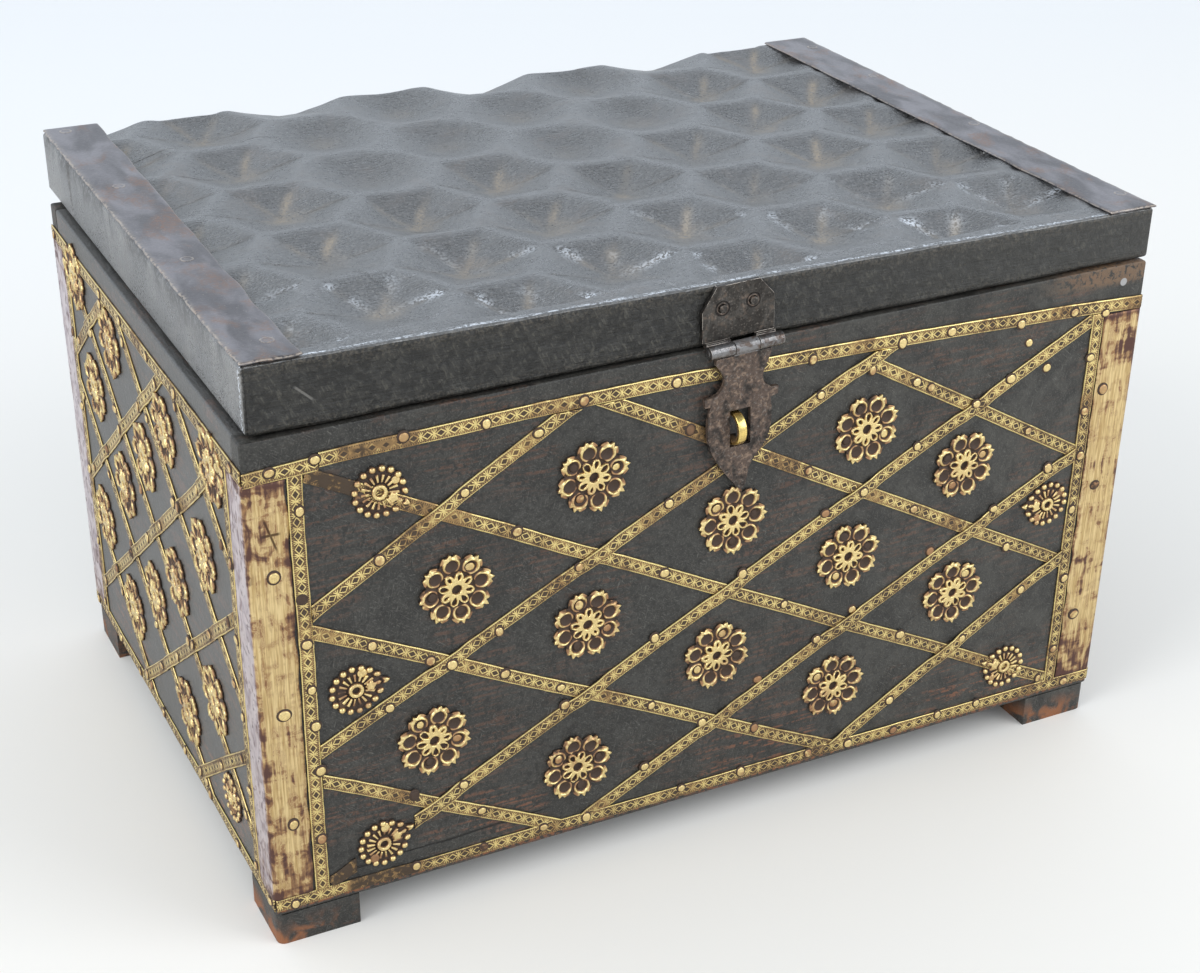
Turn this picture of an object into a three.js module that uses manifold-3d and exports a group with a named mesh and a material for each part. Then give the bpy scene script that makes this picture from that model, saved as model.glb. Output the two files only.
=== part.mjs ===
// A small wooden chest with a carved lid, brass strapping and an iron hasp.
// Units are millimetres. +Z is up, the front faces -Y, and +X is to the right seen from the front.

import * as THREE from 'three';
import { mergeVertices } from 'three/addons/utils/BufferGeometryUtils.js';
import Module from 'manifold-3d';

const wasm = await Module();
wasm.setup();

// Case
const CASE_WIDTH = 301;
const CASE_DEPTH = 205;
const WALL = 12;
const CASE_FOOT_GAP = 11; // underside of the boards above the table
const FLOOR_BOARD = 9;
const FLOOR_RAISE = 3; // underside of the floor board above the underside of the walls
const RIM_LEFT = 167.2; // rim height at the left end
const RIM_RISE = 4; // how much the hand-planed rim rises toward the right end
const REBATE = 5; // depth of the corner rebates in the front and back boards
const JOINT_GAP = 0.05; // glue line between boards

// Feet
const FOOT_LENGTH = 26;
const FOOT_DEPTH = 24;
const FOOT_ROUND = 2.5;

// Lid
const LID_SHORT = 1; // the lid is this much narrower than the case
const LID_REAR = 11; // how far the lid reaches behind the case
const LID_SETBACK = 1; // lid front behind the case front
const LID_THICK = 20.4; // at its left end
const LID_SHIFT = 1.8; // the lid sits a little to the right
const LID_GAP = 0.8;
const LID_ROUND = 2.2; // worn edges
const REAR_PLANK = 34;
const PLANK_GAP = 0.3;

// Carving: a honeycomb of six-sided pits whose corners point along X
const PIT_RADIUS = 21.6;
const CELL_RADIUS = 24.2; // corner radius of one whole cell
const PIT_DEPTH = 6;
const PIT_FLOOR = 1.2; // radius of the blunt bottom
const PIT_ORIGIN = [-26.4, -30.5];
const PIT_CLEAR = 4; // how far a pit's cutter reaches above the lid
const BORDER = 8; // plain border along the front edge
const DISH_SINK = 4.2; // depth of the pits that are worn to smooth dishes
const DISH_RADIUS = 20.5;
const DISHES = [[-1, 1], [-1, 2], [0, 2], [0, 3], [1, 1], [1, 2], [2, 2], [2, 3]]; // column and row of each

// Metal strips over the ends of the lid
const END_STRIP_WIDTH = 17.5;
const END_STRIP_THICK = 0.9;
const END_STRIP_REACH = 0.6; // how far the right one reaches past the lid
const STRIP_CLEAR = 1; // carving stops this far from them

// Brass strapping
const STRIP = 4.5;
const STRIP_THICK = 0.6;
const TOP_BAND_DROP = 7.6; // upper edge of the top band below the rim's left end
const TOP_ARCH = 3.8; // how far the front's top band rises from its ends to its highest point
const ARCH_PEAK = -20; // where that is
const ARCH_STEP = 12.5; // longest straight stretch of the arch
const BAND_LOW = 13.2;
const BAND_LOW_HEIGHT = 3.6;
const TRIM_GAP = 0.05;
const PLATE_WIDTH = 13; // corner plate on a side, from the case corner to its edge
const FRONT_PLATES = [12.2, 14.8]; // the left and right plates on the front and back, cut by hand
const PLATE_THICK = 0.45;

// Lattice: two families of strips, one over the other, laid by hand, so each strip of the front has its own
// place and slope. A place is where its centre line crosses the height LATTICE_MIDDLE.
const LATTICE_MIDDLE = 88;
const FRONT_RISING = [[-174, 0.594], [-88.1, 0.498], [3, 0.515], [95, 0.505], [166, 0.591]];
const FRONT_FALLING = [[-195.9, 0.528], [-98.7, 0.513], [-3.6, 0.516], [89.6, 0.539], [165, 0.566]];
const SIDE_SLOPE = 0.73;
const SIDE_BACKWARD = [-133, -70.8, -7.2, 58.2, 122]; // strips that rise toward the back
const SIDE_FORWARD = [-126, -62, 4.6, 66, 131]; // strips that rise toward the front
const BRIDGE = 9; // how far a strip stays raised beside the strip it crosses
const SHORTEST = 13.5; // no shorter offcut is laid

// Hasp
const HASP_X = 0.9;
const HASP_LEAN = 2.4; // degrees
const HASP_WIDTH = 24.5;
const HASP_THICK = 1.4;
const PLATE_HEIGHT = 19.2;
const PLATE_CUTS = [[4.9, 7.1], [4.9, 5.7]]; // the plate's left and right upper corners, width and height
const HASP_SIDE = -1.2; // middle of plate and leaf from the middle of the barrel
const LEAF_DRAWN = 24.5; // the leaf's outline is drawn for this width and stretched to HASP_WIDTH
const HASP_SINK = 0.6; // hasp pin below the lid's underside
const KNUCKLE = 2.1;
const HASP_PIN = 0.95;
const PIN_GAP = 0.05;
const SLOT = [7, 12];
const STAPLE_REACH = 7.6;
const STAPLE_HEIGHT = 10.4;
const STAPLE_WIRE = 1.4;
const STAPLE_WIDTH = 2.8;
const STAPLE_DROP = 25.8; // staple below the hasp's pin
const STAPLE_SIDE = -2.3; // staple from the middle of the barrel
const STAPLE_PLAY = 1.6; // the slot's middle from the staple's
const RIVET = 2.6;
const RIVET_HEAD = 0.6;

// Back hinges
const HINGE_LENGTH = 34;
const HINGE_THICK = 1.2;
const HINGE_KNUCKLE = 2.4;
const HINGE_PIN = 1.1;
const HINGE_SPREAD = 92; // each hinge from the middle
const HINGE_DROP = 24;
const HINGE_BACK = 9;

const wood = new THREE.MeshStandardMaterial({ color: 0x2e2924, roughness: 0.6, metalness: 0 });
const brass = new THREE.MeshStandardMaterial({ color: 0xb08d4a, roughness: 0.35, metalness: 1 });
const iron = new THREE.MeshStandardMaterial({ color: 0x4a3f38, roughness: 0.55, metalness: 0.8 });
const dark = new THREE.MeshStandardMaterial({ color: 0x554b4a, roughness: 0.5, metalness: 0.6 });

const chest = new THREE.Group();

// Solids

function solidOf(geometry) {
  const bare = geometry.index ? geometry.toNonIndexed() : geometry.clone();
  bare.deleteAttribute('normal');
  bare.deleteAttribute('uv');
  const merged = mergeVertices(bare, 1e-4);
  return new wasm.Manifold(new wasm.Mesh({
    numProp: 3,
    vertProperties: new Float32Array(merged.attributes.position.array),
    triVerts: new Uint32Array(merged.index.array),
  }));
}

function geometryOf(solid) {
  const mesh = solid.getMesh();
  const geometry = new THREE.BufferGeometry();
  geometry.setAttribute('position', new THREE.BufferAttribute(mesh.vertProperties, 3));
  geometry.setIndex(new THREE.BufferAttribute(mesh.triVerts, 1));
  return geometry;
}

function add(parent, name, solid, material) {
  const geometry = solid.isBufferGeometry ? solid : geometryOf(solid);
  geometry.computeVertexNormals();
  const mesh = new THREE.Mesh(geometry, material);
  mesh.name = name;
  parent.add(mesh);
  return mesh;
}

// A box between two corners
function block(x0, y0, z0, x1, y1, z1) {
  const geometry = new THREE.BoxGeometry(x1 - x0, y1 - y0, z1 - z0);
  geometry.translate((x0 + x1) / 2, (y0 + y1) / 2, (z0 + z1) / 2);
  return geometry;
}

// An outline in X and Z, carried along Y from y0 to y1
function slabXZ(shape, y0, y1, curveSegments = 8) {
  const geometry = new THREE.ExtrudeGeometry(shape, { depth: y1 - y0, bevelEnabled: false, curveSegments });
  geometry.rotateX(Math.PI / 2);
  geometry.translate(0, y1, 0);
  return geometry;
}

// An outline in Y and Z, carried along X from x0 to x1
function slabYZ(shape, x0, x1, curveSegments = 8) {
  const geometry = new THREE.ExtrudeGeometry(shape, { depth: x1 - x0, bevelEnabled: false, curveSegments });
  geometry.applyMatrix4(new THREE.Matrix4().set(0, 0, 1, x0, 1, 0, 0, 0, 0, 1, 0, 0, 0, 0, 0, 1));
  return geometry;
}

// A rod along X
function rodX(radius, x0, x1, y, z, sides = 24) {
  const geometry = new THREE.CylinderGeometry(radius, radius, x1 - x0, sides);
  geometry.rotateZ(Math.PI / 2);
  geometry.translate((x0 + x1) / 2, y, z);
  return geometry;
}

// A rod along Y
function rodY(radius, y0, y1, x, z, sides = 16) {
  const geometry = new THREE.CylinderGeometry(radius, radius, y1 - y0, sides);
  geometry.translate(x, (y0 + y1) / 2, z);
  return geometry;
}

function outline(points) {
  return new THREE.Shape(points.map(([x, y]) => new THREE.Vector2(x, y)));
}

const LID_TOP = RIM_LEFT + LID_GAP + LID_THICK;
const BAND_TOP = RIM_LEFT - TOP_BAND_DROP;
const rimAt = (x) => RIM_LEFT + (RIM_RISE * (x + CASE_WIDTH / 2)) / CASE_WIDTH;
const SEAM_ANGLE = -Math.atan(RIM_RISE / CASE_WIDTH);
const X0 = -CASE_WIDTH / 2;
const X1 = CASE_WIDTH / 2;
const Y0 = -CASE_DEPTH / 2;
const Y1 = CASE_DEPTH / 2;
const underAt = (x) => rimAt(x) + LID_GAP;
const HASP_Z = underAt(HASP_X) - HASP_SINK;
const STAPLE_Z = HASP_Z - STAPLE_DROP;
const STAPLE_X = HASP_X + STAPLE_SIDE;

// An outline drawn from one corner of the case inward, set at the corner with the signs sx and sy
function atCorner(points, sx, sy, low, high) {
  const shape = outline(points.map(([x, y]) => [sx * (CASE_WIDTH / 2 - x), sy * (CASE_DEPTH / 2 - y)]));
  const geometry = new THREE.ExtrudeGeometry(shape, { depth: high - low, bevelEnabled: false });
  geometry.translate(0, 0, low);
  return geometry;
}

// Points of a quarter circle round (cx, cy), from the side of -X to the side of -Y
function quarter(cx, cy, radius, steps = 5) {
  return Array.from({ length: steps + 1 }, (_, i) => {
    const angle = Math.PI * (1 + i / steps / 2);
    return [cx + radius * Math.cos(angle), cy + radius * Math.sin(angle)];
  });
}

const CORNERS = [['front_left', -1, -1], ['front_right', 1, -1], ['back_right', 1, 1], ['back_left', -1, 1]];

// Everything above the sloping rim, to trim the boards
function aboveRim(lift) {
  const far = CASE_WIDTH;
  return slabXZ(outline([
    [-far, rimAt(-far) + lift], [far, rimAt(far) + lift], [far, 3 * LID_TOP], [-far, 3 * LID_TOP],
  ]), -CASE_DEPTH, CASE_DEPTH);
}

// Case boards. The front and back boards are rebated at their ends, and the side boards sit in the rebates.

function endBoard(front) {
  const outer = front ? Y0 : Y1;
  const inward = front ? 1 : -1;
  const inner = outer + inward * WALL;
  const far = rimAt(X1) + WALL;
  let solid = solidOf(block(X0, Math.min(outer, inner), CASE_FOOT_GAP, X1, Math.max(outer, inner), far));
  const cut = outer + inward * (WALL - REBATE);
  const low = Math.min(cut, inner + inward);
  const high = Math.max(cut, inner + inward);
  solid = solid.subtract(solidOf(block(X0 - 1, low, 0, X0 + WALL + JOINT_GAP, high, far + 1)));
  solid = solid.subtract(solidOf(block(X1 - WALL - JOINT_GAP, low, 0, X1 + 1, high, far + 1)));
  return solid.subtract(solidOf(aboveRim(0)));
}

function sideBoard(left) {
  const x0 = left ? X0 : X1 - WALL;
  const reach = CASE_DEPTH / 2 - WALL + REBATE - JOINT_GAP;
  const solid = solidOf(block(x0, -reach, CASE_FOOT_GAP, x0 + WALL, reach, rimAt(X1) + WALL));
  return solid.subtract(solidOf(aboveRim(0)));
}

// The staple legs pass through two holes in the front board
const STAPLE_LEG = (STAPLE_HEIGHT - STAPLE_WIRE) / 2;
const STAPLE_LEGS = [STAPLE_Z - STAPLE_LEG, STAPLE_Z + STAPLE_LEG];
const LEG_GAP = 0.3;

function stapleHoles() {
  const half = STAPLE_WIDTH / 2 + LEG_GAP;
  const tall = STAPLE_WIRE / 2 + LEG_GAP;
  return STAPLE_LEGS.map((z) => solidOf(block(
    STAPLE_X - half, Y0 - 4 * STRIP_THICK, z - tall, STAPLE_X + half, Y0 + WALL + 1, z + tall,
  )));
}

let frontBoard = endBoard(true);
for (const hole of stapleHoles()) frontBoard = frontBoard.subtract(hole);
add(chest, 'front_board', frontBoard, wood);
add(chest, 'back_board', endBoard(false), wood);
add(chest, 'left_board', sideBoard(true), wood);
add(chest, 'right_board', sideBoard(false), wood);
const FLOOR_Z = CASE_FOOT_GAP + FLOOR_RAISE;
const inner = [CASE_WIDTH / 2 - WALL - JOINT_GAP, CASE_DEPTH / 2 - WALL - JOINT_GAP];
add(chest, 'floor_board', block(-inner[0], -inner[1], FLOOR_Z, inner[0], inner[1], FLOOR_Z + FLOOR_BOARD), wood);

// Feet: blocks with a rounded outer edge under the four corners
for (const [name, sx, sy] of CORNERS) {
  const points = [
    ...quarter(FOOT_ROUND, FOOT_ROUND, FOOT_ROUND), [FOOT_LENGTH, 0], [FOOT_LENGTH, FOOT_DEPTH], [0, FOOT_DEPTH],
  ];
  add(chest, `foot_${name}`, atCorner(points, sx, sy, 0, CASE_FOOT_GAP - JOINT_GAP), wood);
}

// Brass corner plates, folded round each corner with a round fold
for (const [name, sx, sy] of CORNERS) {
  const out = PLATE_THICK + TRIM_GAP;
  const wide = FRONT_PLATES[sx < 0 ? 0 : 1];
  const points = [
    ...quarter(0, 0, out), [wide, -out], [wide, -TRIM_GAP], [0, -TRIM_GAP], [-TRIM_GAP, 0],
    [-TRIM_GAP, PLATE_WIDTH], [-out, PLATE_WIDTH],
  ];
  const low = BAND_LOW + BAND_LOW_HEIGHT + TRIM_GAP;
  add(chest, `corner_plate_${name}`, atCorner(points, sx, sy, low, BAND_TOP - STRIP - TRIM_GAP), brass);
}

// Strips on a face are drawn in a face frame: U along the face, Z up, and depth out of the face

function facePanel(face) {
  const front = face === 'front' || face === 'back';
  return { half: (front ? CASE_WIDTH : CASE_DEPTH) / 2, out: front ? CASE_DEPTH / 2 : CASE_WIDTH / 2 };
}

function toFace(geometry, face) {
  const turn = { front: 0, right: 1, back: 2, left: 3 }[face];
  geometry.rotateZ((turn * Math.PI) / 2);
  return geometry;
}

function bar(face, u0, z0, u1, z1, from, to) {
  const { out } = facePanel(face);
  return toFace(block(u0, -out - to, z0, u1, -out - from, z1), face);
}

// A diagonal strip between two points of its centre line
function diagonal(face, a, b, from, to, width = STRIP) {
  const { out } = facePanel(face);
  const length = Math.hypot(b[0] - a[0], b[1] - a[1]);
  const geometry = new THREE.BoxGeometry(length, to - from, width);
  geometry.rotateY(-Math.atan2(b[1] - a[1], b[0] - a[0]));
  geometry.translate((a[0] + b[0]) / 2, -out - (from + to) / 2, (a[1] + b[1]) / 2);
  return toFace(geometry, face);
}

const FIELD_LOW = BAND_LOW + BAND_LOW_HEIGHT + TRIM_GAP;
const FIELD_HIGH = BAND_TOP - STRIP - TRIM_GAP;

// How far the top band stands above its ends
function archAt(face, u) {
  if (face !== 'front') return 0;
  const side = u < ARCH_PEAK ? CASE_WIDTH / 2 + ARCH_PEAK : CASE_WIDTH / 2 - ARCH_PEAK;
  return TOP_ARCH * (1 - ((u - ARCH_PEAK) / side) ** 2);
}

// Points from u0 to u1 at a height that follows the arch
function archLine(face, u0, u1, z) {
  const steps = face === 'front' ? Math.ceil((u1 - u0) / ARCH_STEP) : 1;
  return Array.from({ length: steps + 1 }, (_, i) => {
    const u = u0 + ((u1 - u0) * i) / steps;
    return [u, z + archAt(face, u)];
  });
}

// A slab on a face from the points low, given from u0 to u1, up to the arch at the height z1
function archSlab(face, u0, u1, low, z1, from, to) {
  const { out } = facePanel(face);
  const shape = outline([...low, ...archLine(face, u0, u1, z1).reverse()]);
  return toFace(slabXZ(shape, -out - to, -out - from), face);
}

// The field that the lattice fills, between the posts and the bands
function fieldOf(face) {
  const { half } = facePanel(face);
  const [a, b] = face === 'front' ? FRONT_PLATES : [PLATE_WIDTH, PLATE_WIDTH];
  const inset = STRIP + 2 * TRIM_GAP;
  return { u0: -half + a + inset, u1: half - b - inset };
}

for (const face of ['front', 'left', 'right']) {
  const { half } = facePanel(face);
  const reach = half - TRIM_GAP;
  const out = [TRIM_GAP, TRIM_GAP + STRIP_THICK];
  const under = archLine(face, -reach, reach, BAND_TOP - STRIP);
  add(chest, `top_band_${face}`, archSlab(face, -reach, reach, under, BAND_TOP, ...out), brass);
  add(chest, `low_band_${face}`, bar(face, -reach, BAND_LOW, reach, BAND_LOW + BAND_LOW_HEIGHT, ...out), brass);
  const field = fieldOf(face);
  for (const [u0, mark] of [[field.u0 - TRIM_GAP - STRIP, 'a'], [field.u1 + TRIM_GAP, 'b']]) {
    const foot = [[u0, FIELD_LOW], [u0 + STRIP, FIELD_LOW]];
    add(chest, `post_strip_${face}_${mark}`, archSlab(face, u0, u0 + STRIP, foot, FIELD_HIGH, ...out), brass);
  }
}

// A strip's centre line, a little longer than the field, or null for an offcut
function clip(face, offset, slope) {
  const field = fieldOf(face);
  const high = FIELD_HIGH + (face === 'front' ? TOP_ARCH : 0);
  const zAt = (u) => LATTICE_MIDDLE + slope * (u - offset);
  const uAt = (z) => offset + (z - LATTICE_MIDDLE) / slope;
  const ends = [FIELD_LOW, high].map(uAt).sort((p, q) => p - q);
  const u0 = Math.max(field.u0, ends[0]);
  const u1 = Math.min(field.u1, ends[1]);
  return u1 - u0 < SHORTEST ? null : extend([u0, zAt(u0)], [u1, zAt(u1)], 2 * STRIP);
}

// Lengthens a centre line at both ends, so that the field's edge cuts the strip square to the field
function extend(a, b, by) {
  const length = Math.hypot(b[0] - a[0], b[1] - a[1]);
  const ux = ((b[0] - a[0]) * by) / length;
  const uz = ((b[1] - a[1]) * by) / length;
  return [[a[0] - ux, a[1] - uz], [b[0] + ux, b[1] + uz]];
}

function fieldSolid(face) {
  const { u0, u1 } = fieldOf(face);
  return solidOf(archSlab(face, u0, u1, [[u0, FIELD_LOW], [u1, FIELD_LOW]], FIELD_HIGH, -1, 4));
}

// The falling strips lie on the board. The rising strips do too, and step up over each one they cross.
function frontLattice() {
  const field = fieldSolid('front');
  const lie = (ends, from, to, width) => solidOf(diagonal('front', ...ends, from, to, width));
  const falling = FRONT_FALLING.map(([place, slope]) => clip('front', place, -slope)).filter(Boolean);
  const rising = FRONT_RISING.map(([place, slope]) => clip('front', place, slope)).filter(Boolean);
  const flat = TRIM_GAP + STRIP_THICK;
  const under = falling.map((ends) => lie(ends, TRIM_GAP, flat).intersect(field));
  const over = rising.map((ends) => {
    const raised = lie(ends, TRIM_GAP, flat + STRIP_THICK).intersect(field);
    let strip = lie(ends, TRIM_GAP, flat).intersect(field);
    for (const crossed of falling) {
      const bridge = lie(crossed, -1, 2 * flat + 1, STRIP + 2 * BRIDGE);
      const clear = lie(crossed, -1, flat + TRIM_GAP, STRIP + 4 * TRIM_GAP);
      strip = strip.add(raised.intersect(bridge)).subtract(clear);
    }
    return strip;
  });
  return { under, over };
}

const legHoles = stapleHoles();
const notched = (solid) => legHoles.reduce((rest, hole) => rest.subtract(hole), solid);
const lattice = frontLattice();
lattice.under.forEach((solid, i) => add(chest, `lattice_front_falling_${i + 1}`, notched(solid), brass));
lattice.over.forEach((solid, i) => add(chest, `lattice_front_rising_${i + 1}`, notched(solid), brass));

// The side lattices are one net each, soldered at the crossings. U runs forward on the left face and back
// on the right.
for (const [face, forward] of [['left', -1], ['right', 1]]) {
  const field = fieldSolid(face);
  const strips = [
    ...SIDE_BACKWARD.map((y) => [forward * y, forward * SIDE_SLOPE, STRIP_THICK]),
    ...SIDE_FORWARD.map((y) => [forward * y, -forward * SIDE_SLOPE, 1.5 * STRIP_THICK]),
  ];
  let net = null;
  for (const [offset, slope, high] of strips) {
    const ends = clip(face, offset, slope);
    if (!ends) continue;
    const strip = solidOf(diagonal(face, ...ends, TRIM_GAP, TRIM_GAP + high)).intersect(field);
    net = net ? net.add(strip) : strip;
  }
  add(chest, `lattice_${face}`, net, brass);
}

// Lid planks. The underside follows the rim, and the top is level.
const LX0 = X0 + LID_SHORT / 2 + LID_SHIFT;
const LX1 = X1 - LID_SHORT / 2 + LID_SHIFT;
const LY0 = Y0 + LID_SETBACK;
const LY1 = Y1 + LID_REAR;
const SPLIT = LY1 - REAR_PLANK;

function plank(y0, y1) {
  const shape = new THREE.Shape();
  const r = LID_ROUND;
  shape.moveTo(LX0 + r, underAt(LX0 + r));
  shape.lineTo(LX1 - r, underAt(LX1 - r));
  shape.lineTo(LX1, underAt(LX1) + 2 * r);
  shape.lineTo(LX1, LID_TOP);
  shape.lineTo(LX0, LID_TOP);
  shape.lineTo(LX0, underAt(LX0) + r);
  return solidOf(slabXZ(shape, y0, y1));
}

// One pit of the honeycomb: a six-sided cone, point down
function pit() {
  const widen = ((PIT_RADIUS - PIT_FLOOR) / PIT_DEPTH) * PIT_CLEAR;
  const geometry = new THREE.CylinderGeometry(
    PIT_RADIUS + widen, PIT_FLOOR, PIT_DEPTH + PIT_CLEAR, 6, 1, false, Math.PI / 2,
  );
  geometry.rotateX(Math.PI / 2);
  geometry.translate(0, 0, (PIT_CLEAR - PIT_DEPTH) / 2);
  return solidOf(geometry);
}

// One worn pit: a shallow bowl, the cap of a ball
function dish() {
  const ball = (DISH_RADIUS ** 2 + DISH_SINK ** 2) / (2 * DISH_SINK);
  const steps = 5;
  const points = [];
  for (let i = 0; i <= steps; i += 1) {
    const angle = (i / steps) * Math.asin(DISH_RADIUS / ball);
    points.push(new THREE.Vector2(ball * Math.sin(angle), ball - DISH_SINK - ball * Math.cos(angle)));
  }
  points.push(new THREE.Vector2(DISH_RADIUS, PIT_CLEAR), new THREE.Vector2(0, PIT_CLEAR));
  const geometry = new THREE.LatheGeometry(points, 28);
  geometry.rotateX(Math.PI / 2);
  return solidOf(geometry);
}

// Cuts the pits into one plank. Column i and row j count from the pit at PIT_ORIGIN.
function carve(solid, y0, y1) {
  const column = 1.5 * CELL_RADIUS;
  const row = Math.sqrt(3) * CELL_RADIUS;
  const x0 = LX0 + END_STRIP_WIDTH + STRIP_CLEAR;
  const x1 = LX1 - END_STRIP_WIDTH - STRIP_CLEAR;
  const window = solidOf(block(x0, LY0 + BORDER, LID_TOP - 2 * PIT_DEPTH, x1, LY1 + 1, LID_TOP + PIT_CLEAR + 1));
  const deep = pit();
  const worn = dish();
  const far = Math.ceil((LX1 - LX0) / column);
  let result = solid;
  for (let i = -far; i <= far; i += 1) {
    for (let j = -far; j <= far; j += 1) {
      const cx = PIT_ORIGIN[0] + i * column;
      const cy = PIT_ORIGIN[1] + (j + (Math.abs(i) % 2) / 2) * row;
      if (cx + CELL_RADIUS < x0 || cx - CELL_RADIUS > x1) continue;
      if (cy + CELL_RADIUS < y0 || cy - CELL_RADIUS > y1) continue;
      const cutter = DISHES.some(([a, b]) => a === i && b === j) ? worn : deep;
      result = result.subtract(cutter.translate(cx, cy, LID_TOP).intersect(window));
    }
  }
  return result;
}

const lid = new THREE.Group();
chest.add(lid);
add(lid, 'lid_main_plank', carve(plank(LY0, SPLIT - PLANK_GAP / 2), LY0, SPLIT), wood);
add(lid, 'lid_rear_plank', carve(plank(SPLIT + PLANK_GAP / 2, LY1), SPLIT, LY1), wood);
const stripTop = LID_TOP + TRIM_GAP;
add(lid, 'lid_strip_left', block(
  LX0, LY0, stripTop, LX0 + END_STRIP_WIDTH, LY1, stripTop + END_STRIP_THICK,
), dark);
add(lid, 'lid_strip_right', block(
  LX1 - END_STRIP_WIDTH, LY0, stripTop, LX1 + END_STRIP_REACH, LY1, stripTop + END_STRIP_THICK,
), dark);

// Back hinges. Each has a case leaf on the back board, a lid leaf under the lid's overhang and a pin.
const AXIS_OUT = HINGE_KNUCKLE + LEG_GAP;
const HINGE_Y = Y1 + AXIS_OUT;
const KNUCKLES = 5;

function hingeLeaf(isLid) {
  const step = HINGE_LENGTH / KNUCKLES;
  const gap = 0.15;
  let solid = null;
  for (let i = 0; i < KNUCKLES; i += 1) {
    if ((i % 2 === 1) !== isLid) continue;
    const x0 = -HINGE_LENGTH / 2 + i * step + (i > 0 ? gap : 0);
    const x1 = -HINGE_LENGTH / 2 + (i + 1) * step - (i < KNUCKLES - 1 ? gap : 0);
    let knuckle = solidOf(rodX(HINGE_KNUCKLE, x0, x1, 0, 0));
    const web = isLid
      ? block(x0, 0, HINGE_KNUCKLE - HINGE_THICK, x1, HINGE_KNUCKLE + 1.2, HINGE_KNUCKLE)
      : block(x0, -HINGE_KNUCKLE, -HINGE_KNUCKLE - 1.2, x1, -HINGE_KNUCKLE + HINGE_THICK, 0);
    knuckle = knuckle.add(solidOf(web));
    solid = solid ? solid.add(knuckle) : knuckle;
  }
  const [end, rim] = [HINGE_LENGTH / 2, HINGE_KNUCKLE + 0.5];
  const leaf = isLid
    ? block(-end, rim, HINGE_KNUCKLE - HINGE_THICK, end, HINGE_BACK, HINGE_KNUCKLE)
    : block(-end, -HINGE_KNUCKLE, -HINGE_DROP, end, -HINGE_KNUCKLE + HINGE_THICK, -rim);
  const whole = solid.add(solidOf(leaf));
  return whole.subtract(solidOf(rodX(HINGE_PIN + PIN_GAP, -HINGE_LENGTH, HINGE_LENGTH, 0, 0)));
}

function hinge(name, x) {
  for (const isLid of [false, true]) {
    const group = new THREE.Group();
    group.position.set(x, HINGE_Y, underAt(x) - AXIS_OUT);
    group.rotation.y = SEAM_ANGLE;
    (isLid ? lid : chest).add(group);
    add(group, `hinge_${name}_${isLid ? 'lid' : 'case'}_leaf`, hingeLeaf(isLid), iron);
    if (isLid) continue;
    const end = 1;
    add(group, `hinge_${name}_pin`, rodX(HINGE_PIN, -HINGE_LENGTH / 2 - end, HINGE_LENGTH / 2 + end, 0, 0), iron);
  }
}

hinge('left', -HINGE_SPREAD);
hinge('right', HINGE_SPREAD);

// Hasp. Its own frame has the pin along X, Z up, and the origin on the pin.
const LEAF_STANDOFF = TRIM_GAP + 2 * STRIP_THICK + LEG_GAP; // clears the strips it lies over
const HASP_Y = Y0 - Math.max(LEAF_STANDOFF + HASP_THICK / 2, KNUCKLE + LEG_GAP);
const leafBack = Y0 - LEAF_STANDOFF - HASP_Y;

const hasp = new THREE.Group();
hasp.position.set(HASP_X, HASP_Y, HASP_Z);
hasp.rotation.y = -THREE.MathUtils.degToRad(HASP_LEAN);
lid.add(hasp);

const haspLength = HASP_WIDTH / 3;
const NECK_LOW = 1.4; // the plate's bent necks start above the rim
const KNUCKLE_SIDE = 0.15;
const PLATE_EDGE = 0.3; // the plate is this much shorter than the barrel at each end

function haspKnuckle(i) {
  const x0 = -HASP_WIDTH / 2 + i * haspLength + (i > 0 ? KNUCKLE_SIDE : 0);
  const x1 = -HASP_WIDTH / 2 + (i + 1) * haspLength - (i < 2 ? KNUCKLE_SIDE : 0);
  return [x0, x1];
}

function haspPlate() {
  const back = LY0 - TRIM_GAP * 2 - HASP_Y;
  const left = HASP_SIDE - HASP_WIDTH / 2 + PLATE_EDGE;
  const right = HASP_SIDE + HASP_WIDTH / 2 - PLATE_EDGE;
  const top = PLATE_HEIGHT;
  const [cutLeft, cutRight] = PLATE_CUTS;
  const low = KNUCKLE + 0.4;
  let solid = solidOf(slabXZ(outline([
    [left, low], [right, low], [right, top - cutRight[1]], [right - cutRight[0], top],
    [left + cutLeft[0], top], [left, top - cutLeft[1]],
  ]), back - HASP_THICK, back));
  for (const i of [0, 2]) {
    const [x0, x1] = haspKnuckle(i);
    solid = solid.add(solidOf(rodX(KNUCKLE, x0, x1, 0, 0)));
    const span = [Math.max(x0, left), Math.min(x1, right)];
    const neck = block(span[0], back - HASP_THICK, NECK_LOW, span[1], back, low + 0.2);
    const fill = block(span[0], HASP_PIN, HASP_PIN, span[1], back - LEG_GAP, low);
    solid = solid.add(solidOf(neck)).add(solidOf(fill));
  }
  solid = solid.subtract(solidOf(rodX(HASP_PIN + PIN_GAP, -HASP_WIDTH, HASP_WIDTH, 0, 0)));
  for (const [x, z] of RIVETS) solid = solid.subtract(solidOf(rodY(RIVET / 2 + LEG_GAP / 2, -20, 20, x, z)));
  return solid;
}

const RIVETS = [[HASP_SIDE - 5.3, PLATE_HEIGHT - 7], [HASP_SIDE + 4.9, PLATE_HEIGHT - 6.4]];

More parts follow.
